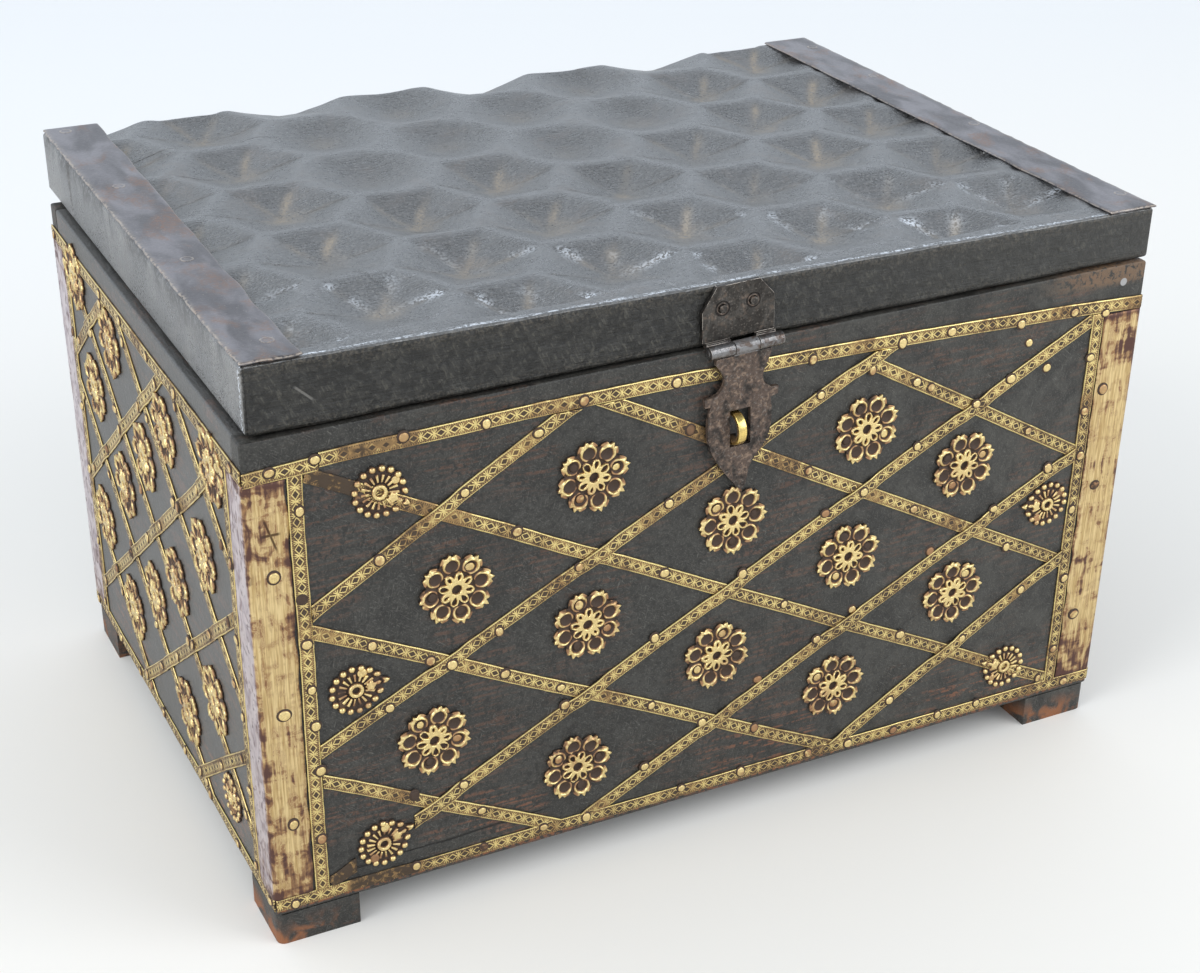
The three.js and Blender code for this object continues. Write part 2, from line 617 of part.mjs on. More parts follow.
// The leaf outline: shoulders at the pin, round side notches, two horns, a leaf-shaped body and a point
function leafOutline() {
  const s = new THREE.Shape();
  const at = (x) => HASP_SIDE + (x * HASP_WIDTH) / LEAF_DRAWN;
  s.moveTo(at(-8.6), -1);
  s.lineTo(at(-8.7), -4.2);
  s.bezierCurveTo(at(-6.9), -6.5, at(-5.6), -8.5, at(-6), -10.4);
  s.quadraticCurveTo(at(-6.6), -13.6, at(-10), -14.2);
  s.lineTo(at(-12.6), -14.4);
  s.lineTo(at(-12.4), -16.9);
  s.lineTo(at(-10.6), -17.2);
  s.bezierCurveTo(at(-11.8), -21, at(-12), -27, at(-10.7), -31);
  s.quadraticCurveTo(at(-9.4), -35.2, at(-4.9), -41.2);
  s.lineTo(at(-2.4), -44.6);
  s.quadraticCurveTo(at(-0.4), -48.2, at(1.3), -45.2);
  s.lineTo(at(2.2), -40.5);
  s.quadraticCurveTo(at(3.2), -37.6, at(7.6), -33.2);
  s.bezierCurveTo(at(10), -30, at(10.8), -24, at(9.6), -18.2);
  s.lineTo(at(12.2), -17.6);
  s.lineTo(at(12.4), -15.2);
  s.lineTo(at(10), -15);
  s.quadraticCurveTo(at(7), -13.6, at(6.9), -10.8);
  s.bezierCurveTo(at(7.2), -8, at(9.4), -5.5, at(9.8), -3);
  s.lineTo(at(9.9), -1);
  return s;
}

function haspLeaf() {
  let solid = solidOf(slabXZ(leafOutline(), leafBack - HASP_THICK, leafBack, 6));
  // the shoulders clear the plate's knuckles
  for (const i of [0, 2]) {
    const [x0, x1] = haspKnuckle(i);
    const wide = [x0 - 2 * KNUCKLE_SIDE, x1 + 2 * KNUCKLE_SIDE];
    solid = solid.subtract(solidOf(rodX(KNUCKLE + LEG_GAP, ...wide, 0, 0)));
  }
  const [x0, x1] = haspKnuckle(1);
  solid = solid.subtract(solidOf(block(-HASP_WIDTH, -9, -KNUCKLE, x0, 9, 9)));
  solid = solid.subtract(solidOf(block(x1, -9, -KNUCKLE, HASP_WIDTH, 9, 9)));
  solid = solid.add(solidOf(rodX(KNUCKLE, x0, x1, 0, 0)));
  solid = solid.add(solidOf(block(x0, leafBack - HASP_THICK, -KNUCKLE - 1.5, x1, leafBack, 0)));
  solid = solid.subtract(solidOf(rodX(HASP_PIN + PIN_GAP, -HASP_WIDTH, HASP_WIDTH, 0, 0)));
  const slotZ = STAPLE_Z - HASP_Z;
  const slotX = STAPLE_SIDE + STAPLE_PLAY + Math.tan(THREE.MathUtils.degToRad(HASP_LEAN)) * slotZ;
  return solid.subtract(solidOf(block(
    -SLOT[0] / 2 + slotX, -9, slotZ - SLOT[1] / 2, SLOT[0] / 2 + slotX, 9, slotZ + SLOT[1] / 2,
  )));
}

add(hasp, 'hasp_plate', haspPlate(), iron);
add(hasp, 'hasp_pin', rodX(HASP_PIN, -HASP_WIDTH / 2 - 0.2, HASP_WIDTH / 2 + 0.2, 0, 0), iron);
add(hasp, 'hasp_leaf', haspLeaf(), iron);
const rivetBack = LY0 - LEG_GAP - HASP_Y;
RIVETS.forEach(([x, z], i) => {
  const head = rivetBack - HASP_THICK - RIVET_HEAD;
  const shank = solidOf(rodY(RIVET / 2, head, rivetBack, x, z));
  add(hasp, `hasp_rivet_${i + 1}`, shank, iron);
});

// Brass staple: a flat strip bent into a loop, with both legs through the front board
function staple() {
  const inner = STAPLE_HEIGHT / 2 - STAPLE_WIRE;
  const outer = STAPLE_HEIGHT / 2;
  const bend = Y0 - STAPLE_REACH + outer;
  const legs = Y0 + WALL - 1;
  const shape = new THREE.Shape();
  shape.moveTo(legs, STAPLE_Z - outer);
  shape.lineTo(legs, STAPLE_Z - inner);
  shape.lineTo(bend, STAPLE_Z - inner);
  shape.absarc(bend, STAPLE_Z, inner, -Math.PI / 2, Math.PI / 2, true);
  shape.lineTo(legs, STAPLE_Z + inner);
  shape.lineTo(legs, STAPLE_Z + outer);
  shape.lineTo(bend, STAPLE_Z + outer);
  shape.absarc(bend, STAPLE_Z, outer, Math.PI / 2, -Math.PI / 2, false);
  return slabYZ(shape, STAPLE_X - STAPLE_WIDTH / 2, STAPLE_X + STAPLE_WIDTH / 2, 8);
}
add(chest, 'staple', solidOf(staple()), brass);

// The chest stands with the middle of its whole box over the origin
const whole = new THREE.Box3().setFromObject(chest);
const middle = whole.getCenter(new THREE.Vector3());
chest.position.set(-middle.x, -middle.y, -whole.min.z);

export default chest;
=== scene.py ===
"""Looks of a small wooden box with a carved lid, stamped brass strapping and an iron hasp.

Shapes are worked out in millimetres about the middle of the case, with the front facing -Y and +Z up, and
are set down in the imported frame, which is in metres, by the Datum.
"""

import logging
import math
from collections.abc import Sequence
from dataclasses import dataclass, field, replace
from enum import Enum

import bpy
import numpy as np
from mathutils import Matrix, Vector


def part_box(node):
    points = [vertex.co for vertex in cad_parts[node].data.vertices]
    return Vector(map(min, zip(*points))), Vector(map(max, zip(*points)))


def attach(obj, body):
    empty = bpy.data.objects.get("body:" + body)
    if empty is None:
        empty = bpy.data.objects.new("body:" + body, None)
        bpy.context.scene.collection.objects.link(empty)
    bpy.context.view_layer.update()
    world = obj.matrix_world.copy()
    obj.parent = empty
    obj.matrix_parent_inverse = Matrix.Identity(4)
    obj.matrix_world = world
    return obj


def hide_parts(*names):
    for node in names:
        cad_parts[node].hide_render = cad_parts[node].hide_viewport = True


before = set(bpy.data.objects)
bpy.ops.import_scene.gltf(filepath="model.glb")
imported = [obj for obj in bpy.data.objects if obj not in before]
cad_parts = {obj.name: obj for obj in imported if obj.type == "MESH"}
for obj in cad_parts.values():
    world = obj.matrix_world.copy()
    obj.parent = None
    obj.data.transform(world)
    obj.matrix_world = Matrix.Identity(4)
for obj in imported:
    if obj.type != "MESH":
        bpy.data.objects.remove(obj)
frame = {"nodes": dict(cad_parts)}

Array = np.ndarray
Material = bpy.types.Material
Numbers = Sequence[float]
Pair = tuple[float, float]
Triple = tuple[float, float, float]
Quad = tuple[float, float, float, float]
Colour = Triple

log = logging.getLogger("box")

MILLIMETRE = 0.001
RIPPLE_WAVES = 7


def smooth(low: float, high: float, x: Array) -> Array:
    """Returns a ramp that is 0 at low and 1 at high and level at both ends: t * t * (3 - 2 t)."""
    t = np.clip((x - low) / (high - low), 0, 1)
    return t * t * (3 - 2 * t)


def hill(x: Array, width: float) -> Array:
    """Returns a bell of height 1 at x = 0: e to the power of minus the square of x / width."""
    return np.exp(-((x / width) ** 2))


def ripple(size: float, seed: int, *axes: Array) -> Array:
    """Returns a smooth uneven field, mostly within -1 to 1.

    It is a sum of sine waves, each with its own direction, phase and wavelength near the given size.

    Args:
        size: wavelength in millimetres.
        seed: which of the possible fields.
        axes: one array per direction of space.

    Returns:
        The field at each point.
    """
    random = np.random.default_rng(seed)
    total = 0.0
    for _ in range(RIPPLE_WAVES):
        direction = random.normal(size=len(axes))
        direction /= np.linalg.norm(direction)
        wave = 2 * math.pi / (size * random.uniform(0.7, 1.5))
        phase = random.uniform(0, 2 * math.pi)
        total = total + np.sin(wave * sum(d * a for d, a in zip(direction, axes)) + phase)
    return total / (RIPPLE_WAVES / 2)


def drop(distance: Array, radius: float) -> Array:
    """Returns how far a rounded edge has fallen at a distance d from the side: r - sqrt(r^2 - (r - d)^2)."""
    inside = np.clip(radius - distance, 0, radius)
    return radius - np.sqrt(radius**2 - inside**2)


@dataclass(frozen=True)
class Datum:
    """The case's place and main sizes in millimetres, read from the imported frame."""

    middle: Array
    half_width: float
    half_depth: float
    rim_left: float
    rim_slope: float

    @classmethod
    def from_frame(cls) -> "Datum":
        """Reads the boards of the case from the frame."""
        front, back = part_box("front_board"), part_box("back_board")
        left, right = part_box("left_board"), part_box("right_board")
        low = np.array([left[0].x, front[0].y, front[0].z]) / MILLIMETRE
        high = np.array([right[1].x, back[1].y, front[1].z]) / MILLIMETRE
        middle = (low + high) / 2 * np.array([1, 1, 0])
        wall = (left[1].x - left[0].x) / MILLIMETRE
        slope = (high[2] - left[1].z / MILLIMETRE) / (high[0] - low[0] - wall)
        return cls(
            middle=middle,
            half_width=(high[0] - low[0]) / 2,
            half_depth=(high[1] - low[1]) / 2,
            rim_left=high[2] - slope * (high[0] - low[0]),
            rim_slope=slope,
        )

    def box(self, node: str) -> tuple[Array, Array]:
        """Returns a node's lowest and highest corners in millimetres about the middle of the case."""
        low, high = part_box(node)
        return np.array(low) / MILLIMETRE - self.middle, np.array(high) / MILLIMETRE - self.middle

    def to_frame(self, points: Array) -> Array:
        """Returns points of the case in the frame's metres."""
        return (points + self.middle) * MILLIMETRE

    def rim(self, x: Array) -> Array:
        """Returns the height of the case's rim, which slopes a little along X."""
        return self.rim_left + self.rim_slope * (x + self.half_width)


CASE = Datum.from_frame()


class Face(Enum):
    """A side of the case that carries strapping."""

    FRONT = "front"
    LEFT = "left"
    RIGHT = "right"

    def place(self, u: Array, v: Array, w: Array) -> Array:
        """Returns points of the case from a face's own directions.

        Args:
            u: distance along the face, to the right for someone looking at it.
            v: height above the table.
            w: height above the face.

        Returns:
            The points, with X, Y and Z in the last axis.
        """
        u, v, w = np.broadcast_arrays(u, v, w)
        if self is Face.FRONT:
            return np.stack([u, -CASE.half_depth - w, v], -1)
        if self is Face.LEFT:
            return np.stack([-CASE.half_width - w, -u, v], -1)
        return np.stack([CASE.half_width + w, u, v], -1)


class Body(Enum):
    """The bodies of the frame that pieces ride on."""

    BOX = "box"
    LID = "lid"


@dataclass
class Surface:
    """A closed mesh in the making.

    Attributes:
        points: places in millimetres, one row each.
        quads: corner numbers of the four-sided faces.
        caps: corner numbers of the other faces.
        values: numbers that the material reads, by name, one for each point.
    """

    points: Array
    quads: Array
    caps: list[Array] = field(default_factory=list)
    values: dict[str, Array] = field(default_factory=dict)

    def volume(self) -> float:
        """Returns the signed volume of the quads and caps, positive when they face outwards."""
        fans = [self.quads[:, [0, 1, 2]], self.quads[:, [0, 2, 3]]]
        for cap in self.caps:
            fans.append(np.stack([np.full(len(cap) - 2, cap[0]), cap[1:-1], cap[2:]], -1))
        a, b, c = (self.points[np.concatenate(fans)[:, i]] for i in range(3))
        return float(np.einsum("ij,ij->i", a, np.cross(b, c)).sum() / 6)

    def outward(self) -> "Surface":
        """Turns the faces over where they point inwards."""
        if self.volume() < 0:
            self.quads = self.quads[:, ::-1]
            self.caps = [cap[::-1] for cap in self.caps]
        return self


def tube(grid: Array, values: dict[str, Array] | None = None) -> Surface:
    """Makes a closed surface from rings of points that follow each other.

    Row i, column j is joined to row i + 1 and to column j + 1, counted round, and the first and last rings
    are closed with a flat face each.

    Args:
        grid: points by ring, then round the ring.
        values: numbers for the material, laid out as the grid is.

    Returns:
        The closed surface, facing outwards.
    """
    rows, columns = grid.shape[:2]
    i = np.arange(rows - 1)[:, None] * columns
    j = np.arange(columns)[None, :]
    k = (j + 1) % columns
    quads = np.stack([i + j, i + k, i + columns + k, i + columns + j], -1).reshape(-1, 4)
    first = np.arange(columns)[::-1]
    last = np.arange(columns) + (rows - 1) * columns
    kept = {name: np.asarray(value, float).reshape(-1) for name, value in (values or {}).items()}
    return Surface(grid.reshape(-1, 3), quads, [first, last], kept).outward()


def together(surfaces: Sequence[Surface]) -> Surface:
    """Joins several closed surfaces into one mesh, which keeps the values that they all have."""
    shift = np.cumsum([0] + [len(s.points) for s in surfaces])
    names = set.intersection(*(set(s.values) for s in surfaces))
    return Surface(
        np.concatenate([s.points for s in surfaces]),
        np.concatenate([s.quads + n for s, n in zip(surfaces, shift)]),
        [cap + n for s, n in zip(surfaces, shift) for cap in s.caps],
        {name: np.concatenate([s.values[name] for s in surfaces]) for name in names},
    )


@dataclass(frozen=True)
class Piece:
    """How a surface becomes an object of the model.

    Attributes:
        name: the object's name.
        body: what it moves with.
        slot: the record's material slot; not used.
        replaces: the nodes of the frame that it stands for.
    """

    name: str
    body: Body
    slot: str
    replaces: tuple[str, ...] = ()

    def make(self, surface: Surface, material: Material) -> bpy.types.Object:
        """Puts the surface into a mesh object, dressed and riding on its body.

        Args:
            surface: the closed surface.
            material: its finish.

        Returns:
            The object.
        """
        mesh = bpy.data.meshes.new(self.name)
        corners = np.concatenate([surface.quads.ravel(), *surface.caps]).astype(np.int32)
        sizes = np.array([4] * len(surface.quads) + [len(cap) for cap in surface.caps])
        starts = np.concatenate([[0], np.cumsum(sizes)[:-1]]).astype(np.int32)
        mesh.vertices.add(len(surface.points))
        mesh.vertices.foreach_set("co", CASE.to_frame(surface.points).astype(np.float32).ravel())
        mesh.loops.add(len(corners))
        mesh.loops.foreach_set("vertex_index", corners)
        mesh.polygons.add(len(sizes))
        mesh.polygons.foreach_set("loop_start", starts)
        mesh.polygons.foreach_set("use_smooth", np.ones(len(sizes), bool))
        mesh.update(calc_edges=True)
        for name, value in surface.values.items():
            mesh.attributes.new(name, "FLOAT", "POINT").data.foreach_set("value", value.astype(np.float32))
        mesh.materials.append(material)
        made = bpy.data.objects.new(self.name, mesh)
        bpy.context.scene.collection.objects.link(made)
        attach(made, self.body.value)
        if self.replaces:
            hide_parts(*self.replaces)
        log.info("%s: %d points", self.name, len(surface.points))
        return made


@dataclass(frozen=True)
class Arch:
    """How far an edge bows upwards along a face.

    Attributes:
        rise: height of its highest point above its ends.
        peak: U of that point.
        reach: half the length of the face.
    """

    rise: float = 0.0
    peak: float = 0.0
    reach: float = 1.0

    def at(self, u: Array) -> Array:
        """Returns rise * (1 - ((u - peak) / side)^2), with side the distance from the peak to that end."""
        side = np.where(u < self.peak, self.reach + self.peak, self.reach - self.peak)
        return self.rise * np.clip(1 - ((u - self.peak) / side) ** 2, 0, None)


class Link:
    """A number, colour or vector on its way through a set of nodes, with arithmetic on numbers."""

    def __init__(self, nodes: "Nodes", socket: bpy.types.NodeSocket) -> None:
        """Wraps a node's output."""
        self.nodes = nodes
        self.socket = socket

    def math(self, operation: str, *others: "Link | float") -> "Link":
        """Returns a Math node's result with this number first."""
        return self.nodes.node("ShaderNodeMath", {"operation": operation}, dict(enumerate([self, *others])))

    def __add__(self, other: "Link | float") -> "Link":
        """Adds."""
        return self.math("ADD", other)

    def __sub__(self, other: "Link | float") -> "Link":
        """Subtracts."""
        return self.math("SUBTRACT", other)

    def __rsub__(self, other: float) -> "Link":
        """Subtracts this from a number."""
        return self.nodes.node("ShaderNodeMath", {"operation": "SUBTRACT"}, {0: other, 1: self})

    def __mul__(self, other: "Link | float") -> "Link":
        """Multiplies."""
        return self.math("MULTIPLY", other)

    def __truediv__(self, other: "Link | float") -> "Link":
        """Divides."""
        return self.math("DIVIDE", other)

    def high(self, other: "Link | float") -> "Link":
        """Returns the larger of two numbers."""
        return self.math("MAXIMUM", other)

    def low(self, other: "Link | float") -> "Link":
        """Returns the smaller of two numbers."""
        return self.math("MINIMUM", other)

    def size(self) -> "Link":
        """Returns the number without its sign."""
        return self.math("ABSOLUTE")

    def fold(self, length: float) -> "Link":
        """Returns the number folded to and fro between 0 and the length."""
        return self.math("PINGPONG", length)

    def far(self, other: "Link") -> "Link":
        """Returns the root of the sum of both squares."""
        return (self * self + other * other).math("SQRT")

    def ramp(self, low: float, high: float, start: float = 0.0, end: float = 1.0) -> "Link":
        """Returns a smooth ramp from start, where this is low, to end, where it is high."""
        kept = {"interpolation_type": "SMOOTHSTEP"}
        return self.nodes.node("ShaderNodeMapRange", kept, {0: self, 1: low, 2: high, 3: start, 4: end})


class Nodes:
    """A node tree in the making."""

    def __init__(self, tree: bpy.types.NodeTree) -> None:
        """Takes over a tree."""
        self.tree = tree

    def feed(self, socket: bpy.types.NodeSocket, value: "Link | float | Numbers") -> None:
        """Sets a socket, or links it."""
        if isinstance(value, Link):
            self.tree.links.new(value.socket, socket)
        elif socket.type == "RGBA":
            socket.default_value = (*value, 1.0)
        else:
            socket.default_value = value

    def node(
        self, kind: str, settings: dict | None = None, sockets: dict | None = None, output: str | int = 0
    ) -> Link:
        """Adds a node.

        Args:
            kind: the node's type.
            settings: its own properties, set first.
            sockets: what goes into it, by name or number.
            output: which of its results is wanted.

        Returns:
            That result.
        """
        made = self.tree.nodes.new(kind)
        for name, value in (settings or {}).items():
            setattr(made, name, value)
        for key, value in (sockets or {}).items():
            self.feed(made.inputs[key], value)
        return Link(self, made.outputs[output])

    def mix(self, factor: Link | float, first: Link | Colour, second: Link | Colour) -> Link:
        """Returns the first colour where the factor is 0 and the second where it is 1."""
        kept = {"data_type": "RGBA", "clamp_factor": True}
        return self.node("ShaderNodeMix", kept, {0: factor, 6: first, 7: second}, 2)


class Paint(Nodes):
    """A material in the making, over the surface's own object coordinates."""

    def __init__(self, name: str) -> None:
        """Starts a material with nothing but its shader and its output."""
        self.material = bpy.data.materials.new(name)
        self.material.use_nodes = True
        super().__init__(self.material.node_tree)
        self.shader = self.tree.nodes["Principled BSDF"]
        self.place = self.node("ShaderNodeTexCoord", output="Object")

    def stretched(self, along: Numbers, turn: Numbers = (0, 0, 0)) -> Link:
        """Returns the object coordinates turned, in degrees, and each then divided by its own length."""
        sockets = {"Vector": self.place, "Rotation": tuple(math.radians(a) for a in turn)}
        turned = self.node("ShaderNodeMapping", {}, sockets)
        scale = tuple(1 / length for length in along)
        return self.node("ShaderNodeVectorMath", {"operation": "MULTIPLY"}, {0: turned, 1: scale})

    def noise(
        self, size: float | Numbers, detail: float = 2.0, turn: Numbers = (0, 0, 0), warp: float = 0.0
    ) -> Link:
        """Returns an uneven field from 0 to 1.

        Args:
            size: size of its spots in millimetres, one number or one for each axis.
            detail: how much finer structure it has.
            turn: degrees that it is turned.
            warp: how much it is bent.

        Returns:
            The field.
        """
        spots = [size] * 3 if isinstance(size, (int, float)) else size
        where = self.stretched([s * MILLIMETRE for s in spots], turn)
        return self.node(
            "ShaderNodeTexNoise", {}, {"Vector": where, "Scale": 1.0, "Detail": detail, "Distortion": warp}
        )

    def axis(self, letter: str) -> Link:
        """Returns one object coordinate in millimetres."""
        return self.node("ShaderNodeSeparateXYZ", {}, {0: self.place}, letter) * (1 / MILLIMETRE)

    def value(self, name: str) -> Link:
        """Returns a number that the mesh carries."""
        return self.node("ShaderNodeAttribute", {"attribute_name": name}, {}, "Fac")

    def coats(self, shade: Link | Colour, *coats: tuple[Link, Link | Colour]) -> Link:
        """Returns a colour under the coats laid over it in turn, each with its amount and its colour."""
        for amount, colour in coats:
            shade = self.mix(amount, shade, colour)
        return shade

    def relief(self, *fields: tuple[Link, float], under: Link | None = None) -> Link:
        """Returns the normal of several height fields.

        Args:
            fields: each field, from 0 to 1, and what its 1 stands for in millimetres, the coarsest first.
            under: the normal of a relief below them.

        Returns:
            The normal.
        """
        for height, depth in fields:
            sockets = {"Height": height, "Distance": depth * MILLIMETRE, "Strength": 1.0}
            if under:
                sockets["Normal"] = under
            under = self.node("ShaderNodeBump", {}, sockets)
        return under

    def line(self, a: Link, b: Link, ends: Numbers, width: float) -> Link:
        """Returns 1 on a straight mark in the plane of two coordinates, fading at its ends.

        Args:
            a: the first coordinate.
            b: the second coordinate.
            ends: both coordinates of one end, then of the other.
            width: distance from its middle line at which it ends.

        Returns:
            The mark.
        """
        length = math.hypot(ends[2] - ends[0], ends[3] - ends[1])
        run, rise = (ends[2] - ends[0]) / length, (ends[3] - ends[1]) / length
        from_a, from_b = a - (ends[0] + ends[2]) / 2, b - (ends[1] + ends[3]) / 2
        across = (from_a * rise - from_b * run).size()
        along = (from_a * run + from_b * rise).size()
        return across.ramp(width, width * 0.35) * along.ramp(length / 2 + width, length * 0.36)

    def shades(self, factor: Link, colour: Colour, dark: float, light: float) -> Link:
        """Returns one colour between a darker and a lighter version of it."""
        return self.mix(factor, tuple(c * dark for c in colour), tuple(c * light for c in colour))

    def finish(self, **sockets: "Link | float | Numbers") -> Material:
        """Feeds the shader, by its sockets' names with _ for a space, and returns the material."""
        for name, value in sockets.items():
            self.feed(self.shader.inputs[name.replace("_", " ")], value)
        return self.material


@dataclass(frozen=True)
class DarkWood:
    """Nearly black stained hardwood, waxed and worn.

    Attributes:
        name: the material's name.
        grain: how long the fibres are along each axis, in millimetres.
        reach: half the width and depth of the case.
        middle: X and Y of the middle of the case in the frame, in millimetres.
        wall: thickness of the boards.
        stain: colour of the stain.
        rub: colour of the wood where the stain is rubbed off.
        edge: colour of the raw wood at the lowest edges.
        inside: colour of the bare wood in the box.
        sheen: roughness of the waxed wood.
        gloss: how strongly its wax mirrors, with 0.5 for plain wax.
        density: the wax's refraction.
        crack: X and Z of the ends of the crack in the front, or none.
        plug: X and Z of the pale plug in the front, or none.
    """

    name: str
    grain: Numbers
    reach: Pair
    middle: Pair
    wall: float
    stain: Colour = (0.0275, 0.026, 0.0225)
    rub: Colour = (0.170, 0.070, 0.036)
    edge: Colour = (0.30, 0.11, 0.04)
    inside: Colour = (0.13, 0.085, 0.05)
    sheen: float = 0.42
    gloss: float = 0.42
    density: float = 1.5
    crack: Quad | None = None
    plug: Pair | None = None

    def material(self) -> Material:
        """Mixes stain, rubs, raw lower edges and bare wood inside, over a leathery skin and scratches.

        Returns:
            The material.
        """
        paint = Paint(self.name)
        fibre = paint.noise(self.grain, 4.0)
        streak = paint.noise([length * 2.4 for length in self.grain], 3.0, warp=0.2)
        skin = paint.noise(1.5, 5.0, warp=0.6)
        mottle = paint.noise(9.0, 5.0, warp=0.8)
        broad = paint.noise(34.0, 2.0)
        grit = paint.noise(0.55, 3.0)
        height = paint.axis("Z")
        x = paint.axis("X") - self.middle[0]
        near_foot = height.ramp(52.0, 18.0) * 0.60 + 0.35
        rubbed = broad.ramp(0.44, 0.60) * streak.ramp(0.47, 0.62) * skin.ramp(0.38, 0.58) * near_foot
        dusty = skin.ramp(0.52, 0.75) * mottle.ramp(0.42, 0.58)
        foot = height.ramp(10.5, 1.5) * mottle.ramp(0.44, 0.62)
        low = foot.high((height - 13.0).size().ramp(1.4, 0.5) * skin.ramp(0.42, 0.60))
        worn_end = height.ramp(163.5, 166.5) * x.ramp(104.0, 136.0) * skin.ramp(0.34, 0.52)
        scratch, inner = self.scratches(paint), self.inner(paint)
        bare = fibre.ramp(0.34, 0.66) * 0.55 + streak.ramp(0.34, 0.66) * 0.45
        shade = paint.coats(
            paint.shades(mottle.ramp(0.3, 0.7), self.stain, 0.78, 1.30),
            (grit.ramp(0.50, 0.70) * 0.50, (0.105, 0.100, 0.086)),
            (skin.ramp(0.50, 0.34) * 0.6, (0.010, 0.009, 0.008)),
            # Painted light: the wood is coloured lighter and greyer towards the right.
            (x.ramp(-60.0, 150.0) * mottle.ramp(0.30, 0.66) * 0.30, (0.088, 0.083, 0.070)),
            (rubbed, self.rub),
            (dusty * 0.25, (0.10, 0.096, 0.085)),
            (low * 0.80, self.edge),
            (worn_end * 0.60, (0.22, 0.125, 0.065)),
            (scratch * 0.5, (0.155, 0.148, 0.130)),
            (inner, paint.shades(bare, self.inside, 0.48, 1.25)),
        )
        rough = (mottle * 0.26 + self.sheen - 0.10 + skin * 0.12 + inner * 0.25 + low * 0.2).low(1.0)
        normal = paint.relief((mottle, 0.28), (skin, 0.26), (fibre, 0.09), (grit, 0.08), (1 - scratch, 0.05))
        if self.crack:
            line = paint.line(paint.axis("X"), height - (streak - 0.5) * 1.6, self.crack, 0.42)
            shade = paint.mix(line * 0.9, shade, (0.006, 0.005, 0.004))
            normal = paint.relief((1 - line, 0.5), under=normal)
        if self.plug:
            round_plug = (paint.axis("X") - self.plug[0]).far(height - self.plug[1])
            shade = paint.mix(round_plug.ramp(1.45, 1.15), shade, (0.34, 0.33, 0.32))
        return paint.finish(
            Base_Color=shade, Roughness=rough, Normal=normal, Specular_IOR_Level=self.gloss, IOR=self.density
        )

    def scratches(self, paint: Paint) -> Link:
        """Returns fine scratches in three directions, 1 where there is one."""
        marks = [
            paint.noise([0.32, 0.32, 13.0], 1.0, (8, 48, 14)).ramp(0.66, 0.76),
            paint.noise([11.0, 0.35, 0.35], 1.0, (0, -28, 9)).ramp(0.66, 0.76),
            paint.noise([0.30, 0.30, 9.0], 1.0, (5, -14, 0)).ramp(0.66, 0.76),
        ]
        return marks[0].high(marks[1]).high(marks[2]) * paint.noise(24.0, 2.0).ramp(0.34, 0.58)

    def inner(self, paint: Paint) -> Link:
        """Returns 1 on the faces that look into the box and 0 outside."""
        x = (paint.axis("X") - self.middle[0]).size()
        y = (paint.axis("Y") - self.middle[1]).size()
        inset = self.wall - 0.6
        side = x.ramp(self.reach[0] - inset + 0.2, self.reach[0] - inset - 0.2)
        return side * y.ramp(self.reach[1] - inset + 0.2, self.reach[1] - inset - 0.2)


